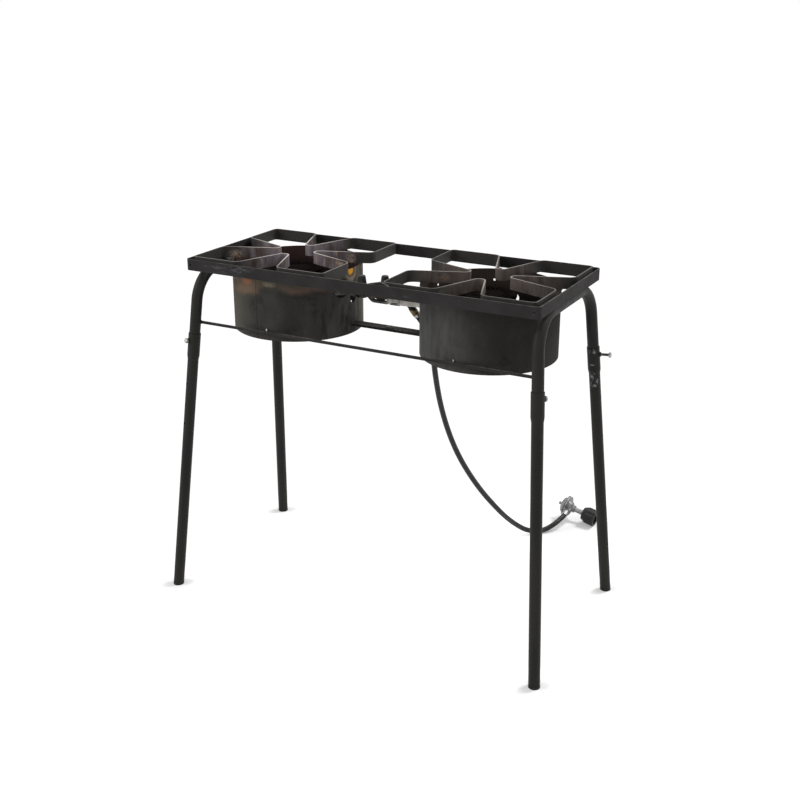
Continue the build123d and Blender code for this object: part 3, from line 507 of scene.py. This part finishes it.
def aroundGuard(side, start):
    # Place, bearing, height and outward facing about the guard's axis
    place = objectPlace(start)
    x, y, z = axesOf(place)
    across = x - burner[side].x
    bearing = across.maths("ARCTAN2", y, across)
    normalX, normalY = facing(start)[:2]
    outward = (normalX * across + normalY * y) / guardRadius
    return place, bearing, z, rise(outward, -0.2, 0.2)


def arc(bearing, centre, half):
    # 1 on a bearing in degrees, fading to 0 at half degrees either side, by the cosine of the turn from it
    turn = bearing - math.radians(centre)
    edge, full = math.cos(math.radians(half)), math.cos(0.4 * math.radians(half))
    return rise(turn.maths("COSINE", turn), edge, full)


def underRim(height, low, high):
    # 0 at low metres under the guard's rim, 1 at high metres under it
    return rise(height, guardTop - low, guardTop - high)


def reachOnGuard(mark, bearing, z, speckle):
    # Distance from the middle of a mark, 1 on its ellipse, with the outline broken up by speckle
    centre, half, height, halfHeight = mark["at"]
    turn = (bearing - math.radians(centre)) / math.radians(half)
    lift = (z - height) / halfHeight
    return (turn * turn + lift * lift).root() + (speckle - 0.5) * mark["ragged"]


def markOnGuard(mark, bearing, z, speckle):
    return 1 - rise(reachOnGuard(mark, bearing, z, speckle), *mark["fade"])


def insideGuard(side, place, z):
    # Near black towards the bottom of the well, baked brown towards the rim
    height = z + (noise(place, **guardLook["bakedWander"]) - 0.5) * 0.03
    baked = underRim(height, *guardLook["bakedBand"])
    return mixed(baked, guardLook["inside"], guardLook["baked"][side])


def plainGuard(side, start):
    place, bearing, z, outside = aroundGuard(side, start)
    cloud = patches(place, **guardLook["clouds"])
    colour = mixed(cloud, guardLook["body"], guardLook["faded"])
    colour = mixed(patches(place, **guardLook["sooting"]) * 0.55, colour, guardLook["sootAndShade"])
    colour = mixed(patches(place, **guardLook["flecks"]) * 0.4, colour, guardLook["ashAndHighlight"])
    return place, bearing, z, outside, cloud, colour


# A side is a bearing in degrees and half the angle that it covers
rightGuardLook = {
    "wipedAndLit": tone(94, 94, 94),
    "wipes": {
        "scale": 60.0, "detail": 5.0, "rough": 0.6, "stretch": (1.0, 1.0, 0.25), "low": 0.36, "high": 0.64,
    },
    "litWipedSide": (-140.0, 64.0),
    "shadedSide": (-30.0, 62.0),
    "depth": 0.00025,
}


def guardPaintRight(start):
    # Charcoal sheet, painted paler with streaks up the side that faces the light and painted darker on the
    # side turned from it, dark within
    look = rightGuardLook
    place, bearing, z, outside, cloud, colour = plainGuard("right", start)
    # Painted highlight: the side that faces the light is painted paler, with wiped streaks over it
    wipedAndLit = arc(bearing, *look["litWipedSide"]) * (0.25 + 0.3 * patches(place, **look["wipes"]))
    colour = mixed(wipedAndLit, colour, look["wipedAndLit"])
    # Painted shade: the side turned from the light is painted darker
    colour = mixed(arc(bearing, *look["shadedSide"]) * 0.4, colour, guardLook["sootAndShade"])
    colour = mixed(1 - outside, colour, insideGuard("right", place, z))
    return colour, 0.6 + 0.2 * cloud, 0.0, noise(place, **guardLook["grain"]), look["depth"]


# A band starts and is full at these metres under the rim; a mark is at a bearing and half angle in degrees
# and a height and half height in metres
leftGuardLook = {
    "olive": tone(80, 77, 66),
    "burn": tone(120, 100, 84),
    "ember": tone(182, 118, 82),
    "rose": tone(104, 80, 74),
    "streak": tone(150, 136, 120),
    "rust": tone(218, 154, 44),
    "litSide": (-156.0, 62.0),
    "burnSide": (-128.0, 44.0),
    "roseSide": (-45.0, 34.0),
    "shadedRunSide": (-20.0, 40.0),
    "paleSide": (16.0, 18.0),
    "oliveBand": (0.046, 0.026),
    "burnBand": (0.062, 0.044),
    "cleanBand": (0.030, 0.016),
    "emberMark": {"at": (-107.0, 9.0, 0.772, 0.012), "ragged": 1.2, "fade": (0.2, 1.0)},
    "scrapeMark": {"at": (-83.0, 8.0, 0.771, 0.008), "ragged": 1.6, "fade": (0.3, 1.0)},
    "ringMark": {"at": (-4.6, 7.6, guardTop, 0.024), "ragged": 0.9, "crest": (0.66, 0.96, 1.3)},
    "rustMark": {"at": (-5.6, 4.8, guardTop - 0.005, 0.011), "ragged": 0.8, "fade": (0.45, 1.05)},
    "wander": {"scale": 9.0},
    "burns": {"scale": 26.0, "detail": 5.0, "low": 0.32, "high": 0.56},
    "speckle": {"scale": 130.0, "detail": 6.0, "rough": 0.7},
    "runs": {
        "scale": 48.0, "detail": 5.0, "rough": 0.6, "stretch": (1.0, 1.0, 0.2), "low": 0.48, "high": 0.64,
    },
    "paleRuns": {"scale": 40.0, "stretch": (1.0, 1.0, 0.3), "low": 0.35, "high": 0.6},
    "depth": 0.0003,
}


def guardPaintLeft(start):
    # Charcoal sheet with a burnt band under the rim, a rust bloom by the valve side and soot runs, painted
    # paler on the side that faces the light and darker with the runs on the side turned from it
    look = leftGuardLook
    place, bearing, z, outside, cloud, colour = plainGuard("left", start)
    height = z + (noise(place, **look["wander"]) - 0.5) * 0.05
    speckle = noise(place, **look["speckle"])
    # Painted highlight: the side that faces the light is painted paler grey
    colour = mixed(arc(bearing, *look["litSide"]) * 0.4, colour, guardLook["ashAndHighlight"])
    band = underRim(height, *look["oliveBand"])
    colour = mixed(band * 0.75, colour, look["olive"])
    burnt = underRim(height, *look["burnBand"]) * arc(bearing, *look["burnSide"])
    colour = mixed(burnt * patches(place, **look["burns"]) * 0.9, colour, look["burn"])
    colour = mixed(markOnGuard(look["emberMark"], bearing, z, speckle) * 0.55, colour, look["ember"])
    rose = arc(bearing, *look["roseSide"]) * band * (1 - underRim(height, *look["cleanBand"]))
    colour = mixed(rose * 0.7, colour, look["rose"])
    colour = mixed(markOnGuard(look["scrapeMark"], bearing, z, speckle) * 0.45, colour, look["streak"])
    # Soot runs kept to the side turned from the light, where they also stand in for painted shade
    runs = patches(place, **look["runs"]) * arc(bearing, *look["shadedRunSide"])
    colour = mixed(runs * 0.8, colour, guardLook["sootAndShade"])
    pale = arc(bearing, *look["paleSide"]) * patches(place, **look["paleRuns"])
    colour = mixed(pale * 0.6, colour, guardLook["ashAndHighlight"])
    inner, crest, outer = look["ringMark"]["crest"]
    ring = reachOnGuard(look["ringMark"], bearing, z, speckle)
    streak = rise(ring, inner, crest) * (1 - rise(ring, crest, outer))
    colour = mixed(streak * 0.65, colour, look["streak"])
    bloom = markOnGuard(look["rustMark"], bearing, z, speckle)
    colour = mixed(bloom, colour, look["rust"])
    colour = mixed(1 - outside, colour, insideGuard("left", place, z))
    return colour, 0.62 + 0.2 * cloud, 0.0, noise(place, **guardLook["grain"]) + 0.5 * bloom, look["depth"]


ironLook = {
    "dark": tone(8, 5, 4),
    "light": tone(15, 10, 8),
    "blotches": {"scale": 40.0, "low": 0.4, "high": 0.65},
    "sand": {"scale": 480.0, "detail": 3.0},
    "depth": 0.0006,
}


def castIron(start):
    # Sooted casting with a coarse sand skin
    look = ironLook
    place = objectPlace(start)
    blotch = patches(place, **look["blotches"])
    colour = mixed(blotch, look["dark"], look["light"])
    return colour, 0.85 + 0.1 * blotch, 0.0, noise(place, **look["sand"]), look["depth"]


tubeLook = {
    "span": 0.1,  # metres of tube that the tones below are spread over
    "left": [(0.0, tone(46, 44, 41)), (1.0, tone(58, 56, 53))],
    "right": [
        (0.24, tone(44, 42, 40)), (0.34, tone(112, 109, 104)), (0.44, tone(182, 178, 170)),
        (1.0, tone(198, 194, 186)),
    ],
    "worn": tone(92, 89, 84),
    "blotches": {"scale": 60.0, "detail": 5.0, "stretch": (0.5, 1.0, 1.0), "low": 0.36, "high": 0.66},
    "wander": {"scale": 50.0},
    "grain": {"scale": 380.0, "detail": 3.0},
    "depth": 0.0004,
}


def tubePaint(side):
    def colouring(start):
        # Painted casting, dark by the valve and paler along the tube
        look = tubeLook
        place = objectPlace(start)
        blotch = patches(place, **look["blotches"])
        along = axesOf(place)[0] * (1 / look["span"])
        colour = ramp(along + (noise(place, **look["wander"]) - 0.5) * 0.16, look[side])
        colour = mixed(blotch * 0.4, colour, look["worn"])
        return colour, 0.5 + 0.2 * blotch, 0.1, noise(place, **look["grain"]), look["depth"]

    return colouring


# Each metal's material name, dark and light tones, roughness, metalness and scale of patches
metalLook = {
    "zinc": ("bolt_zinc", tone(150, 150, 148), tone(206, 206, 204), 0.3, 0.9, 70.0),
    "shutter_left": ("shutter_left_steel", tone(44, 42, 40), tone(66, 64, 61), 0.45, 0.4, 70.0),
    "shutter_right": ("shutter_right_steel", tone(126, 123, 117), tone(178, 174, 166), 0.45, 0.3, 70.0),
    "old_brass": ("valve_brass", tone(40, 37, 32), tone(74, 66, 50), 0.45, 0.4, 70.0),
    "dark": ("fitting_dark", tone(28, 26, 25), tone(52, 49, 46), 0.42, 0.3, 70.0),
    "brass": ("fitting_brass", tone(104, 90, 68), tone(150, 132, 102), 0.36, 0.7, 70.0),
    "silver": ("regulator_metal", tone(112, 112, 112), tone(158, 158, 158), 0.4, 0.6, 70.0),
    "bright": ("ferrule_metal", tone(176, 176, 176), tone(228, 228, 228), 0.28, 0.8, 70.0),
    "scraped": ("scraped_steel", tone(150, 148, 144), tone(214, 212, 208), 0.4, 0.6, 160.0),
    "weld": ("weld_steel", tone(44, 38, 34), tone(84, 72, 62), 0.55, 0.2, 160.0),
}
metalPatches = {"detail": 5.0, "rough": 0.6, "low": 0.36, "high": 0.66}
metalDepth = 0.00012


def metalFinish(dark, light, roughness, metalness, scale):
    def colouring(start):
        place = objectPlace(start)
        patch = patches(place, scale=scale, **metalPatches)
        fine = noise(place, 14 * scale, 2.0)
        return mixed(patch, dark, light), roughness + 0.16 * patch, metalness, fine, metalDepth

    return colouring


collarLook = {
    "black": tone(24, 22, 21),
    "share": (0.56, 0.66),  # of the nut's height, from its lower end
    "ragged": {"scale": 160.0},
}


def blackenedBrass(start):
    # Dull brass under a black collar at its upper end
    colour, roughness, metalness, fine, depth = metalFinish(*metalLook["brass"][1:])(start)
    low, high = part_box("hose_nut")
    place = objectPlace(start)
    share = (axesOf(place)[2] - low.z) / (high.z - low.z)
    collar = rise(share + (noise(place, **collarLook["ragged"]) - 0.5) * 0.2, *collarLook["share"])
    return mixed(collar, colour, collarLook["black"]), roughness, metalness - 0.5 * collar, fine, depth


drawnLook = {
    "thread": (tone(66, 64, 60), tone(108, 105, 100)),
    "head": (tone(128, 128, 126), tone(206, 206, 204)),
    "headDepth": (0.0058, 0.0046),
    "scale": 200.0,
    "fine": {"scale": 980.0, "detail": 2.0},
}


def drawnBolt(start):
    # Zinc hex head on a dull, oily thread
    look = drawnLook
    place = objectPlace(start)
    patch = patches(place, scale=look["scale"], **metalPatches)
    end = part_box("leg_bolt_rb")[1].x
    head = rise(axesOf(place)[0], *[end - depth for depth in look["headDepth"]])
    colour = mixed(head, mixed(patch, *look["thread"]), mixed(patch, *look["head"]))
    return colour, 0.4 + 0.1 * patch, 0.6 + 0.3 * head, noise(place, **look["fine"]), metalDepth


rivetLook = {
    "black": tone(24, 22, 21),
    "paleMarks": tone(96, 93, 88),
    "crownDepth": (0.0026, 0.0008),
    "highlightBreakup": {"scale": 120.0},
    "grain": {"scale": 600.0, "detail": 2.0},
    "depth": 0.0002,
}


def rivetPaint(start):
    # Black domed head with its crown painted pale, a painted highlight broken up by noise
    look = rivetLook
    place = objectPlace(start)
    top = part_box("bar_rivet")[1].z
    crown = rise(axesOf(place)[2], *[top - depth for depth in look["crownDepth"]])
    colour = mixed(crown * (0.5 + 0.5 * noise(place, **look["highlightBreakup"])), look["black"], look["paleMarks"])
    return colour, 0.5, 0.0, noise(place, **look["grain"]), look["depth"]


# Each moulding's material name, dark and light tones and roughness
plasticLook = {
    "rubber": ("hose_rubber", tone(26, 26, 25), tone(46, 45, 43), 0.45),
    "knob": ("knob_plastic", tone(18, 18, 18), tone(38, 37, 36), 0.45),
    "nut": ("nut_plastic", tone(18, 18, 18), tone(40, 39, 38), 0.5),
    "foot": ("foot_plastic", tone(18, 18, 18), tone(34, 33, 32), 0.6),
}
plasticPatches = {"scale": 90.0, "low": 0.4, "high": 0.66}
plasticGrain = {"scale": 1300.0, "detail": 2.0}
plasticDepth = 0.0002


def mouldedPlastic(dark, light, roughness):
    def colouring(start):
        place = objectPlace(start)
        patch = patches(place, **plasticPatches)
        # Painted highlight: faces that look up are painted lighter, over paler random patches
        colour = mixed((patch * 0.7).larger(upFacing(start, 0.5, 0.95) * 0.4), dark, light)
        return colour, roughness, 0.0, noise(place, **plasticGrain), plasticDepth

    return colouring


finishes = {
    "frame_paint": finish("frame_paint", framePaint, specular=0.06),
    "bar_paint": finish("bar_paint", barPaint, specular=0.06),
    "leg_paint": finish("leg_paint", legPaint, specular=0.15),
    "guard_left": finish("guard_left_paint", guardPaintLeft, specular=0.07),
    "guard_right": finish("guard_right_paint", guardPaintRight, specular=0.07),
    "cast_iron": finish("burner_iron", castIron, specular=0.02),
    "rivet": finish("rivet_paint", rivetPaint, specular=0.2),
    "drawn": finish("drawn_bolt_zinc", drawnBolt),
    "collared": finish("nut_brass", blackenedBrass),
}
for side in sides:
    finishes[f"grate_{side}"] = finish(f"grate_{side}_steel", grateSteel(side))
    finishes[f"tube_{side}"] = finish(f"tube_{side}_paint", tubePaint(side))
for key, (name, *look) in metalLook.items():
    finishes[key] = finish(name, metalFinish(*look))
for key, (name, *look) in plasticLook.items():
    finishes[key] = finish(name, mouldedPlastic(*look))

nodeFinish = {
    "top_frame": "frame_paint", "front_rod": "frame_paint", "burner_bar": "bar_paint", "bar_rivet": "rivet",
    "corner_tie": "frame_paint", "grate_tabs": "frame_paint", "burner_studs": "zinc", "stud_nuts": "zinc",
    "valve_body": "old_brass", "inlet_nipple": "old_brass", "inlet_elbow": "dark", "hose_nut": "collared",
    "hose": "rubber", "hose_ferrule_upper": "bright", "hose_ferrule_lower": "bright",
    "regulator_body": "silver", "regulator_cover": "silver", "regulator_diaphragm": "rubber",
    "regulator_screws": "zinc", "regulator_stem": "silver", "cylinder_nut": "nut",
}
for side in sides:
    for piece, look in (
        ("leg_hoop", "leg_paint"), ("grate", f"grate_{side}"), ("wind_guard", f"guard_{side}"),
        ("mixing_tube", f"tube_{side}"), ("air_shutter", f"shutter_{side}"), ("burner_bowl", "cast_iron"),
        ("burner_lid", "cast_iron"), ("burner_post", "cast_iron"), ("jet", "brass"), ("valve_stem", "brass"),
        ("knob", "knob"),
    ):
        nodeFinish[f"{piece}_{side}"] = look
for corner in corners:
    nodeFinish[f"lower_leg_{corner}"] = "leg_paint"
    nodeFinish[f"foot_plug_{corner}"] = "foot"
    nodeFinish[f"leg_bolt_{corner}"] = "drawn" if corner == "rb" else "zinc"


def dress(item, material):
    item.data.materials.clear()
    item.data.materials.append(material)


for name, item in nodes.items():
    dress(item, finishes[nodeFinish[name]])
dress(hose, finishes["rubber"])
print("finishes on", len(nodes), "nodes")

# Weld beads where the pieces of the stand are joined
weldLook = {
    "ripple": 1.5,  # bead radii from one ripple to the next
    "stepsPerRipple": 4,
    "spokes": 10,
    "swell": (0.9, 0.12),
    "hoop": {"x": 0.421, "z": 0.7905, "spread": 0.045, "half": 0.020, "radius": 0.0032},
    "tick": {
        "places": [(-0.2327, -0.1523, 0.6636), (0.2310, -0.1523, 0.6640)], "half": 0.0055, "radius": 0.0021,
    },
    "rod": {"inset": 0.0055, "stand": 0.0006, "radius": 0.0016, "open": 0.1, "steps": 41},
    "bar": {"half": 0.011, "radius": 0.0022},
    "rim": {"half": 0.007, "radius": 0.0021, "near": 0.008, "slack": 0.0003},
}


def rippleCount(length, radius):
    return max(2, round(length / (weldLook["ripple"] * radius)))


def unit(vectors):
    return vectors / np.linalg.norm(vectors, axis=1, keepdims=True)


def beadSurface(path, radius, lead):
    # Rings about the path. Their size swells by a cosine once for each ripple, and falls to nothing at both
    # ends by the root of one less the sixth power of the distance from the middle, which is 1 at an end
    steps = np.linalg.norm(np.diff(path, axis=0), axis=1)
    share = np.r_[0, np.cumsum(steps)] / steps.sum()
    ripples = rippleCount(steps.sum(), radius)
    plain, swell = weldLook["swell"]
    sizes = radius * np.sqrt(1 - (2 * share - 1) ** 6) * (plain + swell * np.cos(2 * np.pi * ripples * share))
    along = unit(np.gradient(path, axis=0))
    aside = unit(np.cross(along, lead))
    over = np.cross(aside, along)
    turn = np.linspace(0, 2 * np.pi, weldLook["spokes"], endpoint=False)[None, :, None]
    spokes = np.cos(turn) * aside[:, None] + np.sin(turn) * over[:, None]
    rings = (path[:, None] + sizes[:, None, None] * spokes)[1:-1]
    points = np.vstack([path[:1], rings.reshape(-1, 3), path[-1:]])
    count, ring = rings.shape[:2]
    here = np.arange(ring)
    beside = np.roll(here, -1)
    rows = 1 + ring * np.arange(count - 1)[:, None]
    quads = np.stack([rows + here, rows + ring + here, rows + ring + beside, rows + beside], axis=-1)
    end = 1 + ring * (count - 1)
    first = np.stack([np.zeros_like(here), 1 + here, 1 + beside], axis=-1)
    last = np.stack([np.full_like(here, len(points) - 1), end + beside, end + here], axis=-1)
    return points, [first, quads.reshape(-1, 4), last]


def straightBead(place, half, radius):
    # A bead on the straight line from half behind a place to half ahead of it
    start, end = np.array(place) - half, np.array(place) + half
    run = end - start
    count = weldLook["stepsPerRipple"] * rippleCount(np.linalg.norm(run), radius) + 1
    upright = abs(run[2]) > np.linalg.norm(run[:2])
    lead = (1.0, 0.0, 0.0) if upright else (0.0, 0.0, 1.0)
    return beadSurface(start + run * np.linspace(0, 1, count)[:, None], radius, lead)


def beadPiece(name, beads, look):
    points, faces, count = [], [], 0
    for part, shapes in beads:
        for shape in shapes:
            faces += (shape + count).tolist()
        points.append(part)
        count += len(part)
    mesh = bpy.data.meshes.new(name)
    mesh.from_pydata(np.vstack(points).tolist(), [], faces)
    mesh.polygons.foreach_set("use_smooth", np.ones(len(faces), bool))
    piece = linked(name, mesh)
    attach(piece, "stove")
    dress(piece, finishes[look])


def tickBeads(look):
    # A short upright bead where the rod crosses each guard
    return [straightBead(place, (0.0, 0.0, look["half"]), look["radius"]) for place in look["places"]]


def hoopBeads(look):
    # Two beads along the top of each hoop, under the frame
    return [
        straightBead((x, y, look["z"]), (0.0, look["half"], 0.0), look["radius"])
        for x in (-look["x"], look["x"])
        for y in (-look["spread"], look["spread"])
    ]


def rodBeads(look):
    # A circle about the rod near each end, left open by a small angle
    low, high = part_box("front_rod")
    centre = (low + high) / 2
    reach = (high.z - low.z) / 2 + look["stand"]
    turn = np.linspace(look["open"], 2 * np.pi - look["open"], look["steps"])
    beads = []
    for x in (low.x + look["inset"], high.x - look["inset"]):
        path = np.c_[np.full(len(turn), x), centre.y + reach * np.cos(turn), centre.z + reach * np.sin(turn)]
        beads.append(beadSurface(path, look["radius"], (1.0, 0.0, 0.0)))
    return beads


def barBeads(look):
    # A bead across the top of the bar where it passes through each guard
    low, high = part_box("burner_bar")
    beads = []
    for side, sign in sides.items():
        place = (burner[side].x - sign * guardRadius, (low.y + high.y) / 2, high.z)
        beads.append(straightBead(place, (0.0, look["half"], 0.0), look["radius"]))
    return beads


def rimBeads(side, look):
    # Where the strap's lower edges pass over the guard's rim, one short bead along the rim
    mesh = nodes[f"grate_{side}"].data
    points = np.empty(3 * len(mesh.vertices))
    mesh.vertices.foreach_get("co", points)
    points = points.reshape(-1, 3)
    edges = np.empty(2 * len(mesh.edges), int)
    mesh.edges.foreach_get("vertices", edges)
    first, second = points[edges.reshape(-1, 2)].transpose(1, 0, 2)
    centre = np.array([burner[side].x, 0.0])
    inner = np.linalg.norm(first[:, :2] - centre, axis=1)
    outer = np.linalg.norm(second[:, :2] - centre, axis=1)
    lowest = np.maximum(first[:, 2], second[:, 2]) < points[:, 2].min() + look["slack"]
    crossing = lowest & ((inner - guardRadius) * (outer - guardRadius) < 0)
    share = ((guardRadius - inner) / np.where(crossing, outer - inner, 1.0))[:, None]
    beads, taken = [], []
    for place in (first + (second - first) * share)[crossing]:
        if any(np.linalg.norm(place - other) < look["near"] for other in taken):
            continue
        taken.append(place)
        tangent = np.array([centre[1] - place[1], place[0] - centre[0], 0.0])
        tangent *= look["half"] / np.linalg.norm(tangent)
        beads.append(straightBead(place, tangent, look["radius"]))
    return beads


beadPiece("rod_weld_ticks", tickBeads(weldLook["tick"]), "scraped")
beadPiece("hoop_welds", hoopBeads(weldLook["hoop"]), "frame_paint")
beadPiece("rod_welds", rodBeads(weldLook["rod"]), "leg_paint")
beadPiece("bar_welds", barBeads(weldLook["bar"]), "bar_paint")
for side in sides:
    beadPiece(f"rim_welds_{side}", rimBeads(side, weldLook["rim"]), "weld")
print("weld beads made")

# Floor, background and light. A shade starts to clear and is gone at these metres from its middle, and the
# pairs of levels are for the shade and for the clear floor
stageLook = {
    "floor": 14.0,
    "shade": 0.96,
    "glow": (2.0, 1.05),
    "white": (0.12, 1.0),
    "ambient": 0.42,
    "regulatorShade": ((0.28, 0.53, 0.0), (0.09, 0.26)),
    "footShade": (0.02, 0.09),
}


def lightPathSeen(start):
    # 1 for the camera and for mirror and glass rays
    outputs = start.make("ShaderNodeLightPath").socket.node.outputs
    keys = ("Is Camera Ray", "Is Glossy Ray", "Is Transmission Ray")
    camera, glossy, glass = [Signal(start.tree, outputs[key]) for key in keys]
    return camera.larger(glossy.larger(glass))


def clearOfShades(start, look):
    # 0 by the regulator and the feet, 1 away from them all
    place = objectPlace(start)
    shades = [look["regulatorShade"]]
    for corner in corners:
        foot = middle(f"foot_plug_{corner}")
        shades.append(((foot.x, foot.y, 0.0), look["footShade"]))
    clear = 1.0
    for centre, fade in shades:
        clear = clear * rise(distance(place, centre), *fade)
    return clear


def makeFloor(look):
    # A flat square that takes shadow round the regulator and the feet and is plain white away from them
    half = look["floor"] / 2
    square = [(-half, -half, 0), (half, -half, 0), (half, half, 0), (-half, half, 0)]
    mesh = bpy.data.meshes.new("floor")
    mesh.from_pydata(square, [], [(0, 1, 2, 3)])
    floor = linked("floor", mesh)
    material = bpy.data.materials.new("floor_white")
    material.use_nodes = True
    tree = material.node_tree
    tree.nodes.clear()
    start = Signal(tree)
    clear = clearOfShades(start, look)
    diffuse = start.make("ShaderNodeBsdfDiffuse", values={0: grey(look["shade"])})
    near, far = look["glow"]
    glow = start.make("ShaderNodeEmission", values={0: mixed(clear, grey(near), grey(far)), 1: 1.0})
    least, most = look["white"]
    share = lightPathSeen(start) * (least + (most - least) * clear)
    mix = start.make("ShaderNodeMixShader", values={0: share, 1: diffuse, 2: glow})
    output = tree.nodes.new("ShaderNodeOutputMaterial")
    tree.links.new(mix.socket, output.inputs[0])
    dress(floor, material)


def makeWorld(look):
    world = bpy.data.worlds.new("studio")
    bpy.context.scene.world = world
    world.use_nodes = True
    tree = world.node_tree
    tree.nodes.clear()
    start = Signal(tree)
    strength = look["ambient"] + (1 - look["ambient"]) * lightPathSeen(start)
    sky = start.make("ShaderNodeBackground", values={0: grey(1.0), 1: strength})
    output = tree.nodes.new("ShaderNodeOutputWorld")
    tree.links.new(sky.socket, output.inputs[0])


makeFloor(stageLook)
makeWorld(stageLook)

lamps = {
    "key": {"place": (-2.4, -2.0, 2.5), "size": 2.0, "power": 50.0},
    "fill": {"place": (2.4, -2.2, 1.6), "size": 2.0, "power": 6.0},
    "back": {"place": (1.3, 1.7, 3.0), "size": 0.9, "power": 64.0},
}
lampTarget = Vector((0.0, 0.0, 0.6))
for name, lamp in lamps.items():
    data = bpy.data.lights.new(name, "AREA")
    data.energy = lamp["power"]
    data.size = lamp["size"]
    point(linked(name, data), lamp["place"], lampTarget - Vector(lamp["place"]))
bpy.context.scene.view_settings.view_transform = "Standard"
print("stage and lamps set")
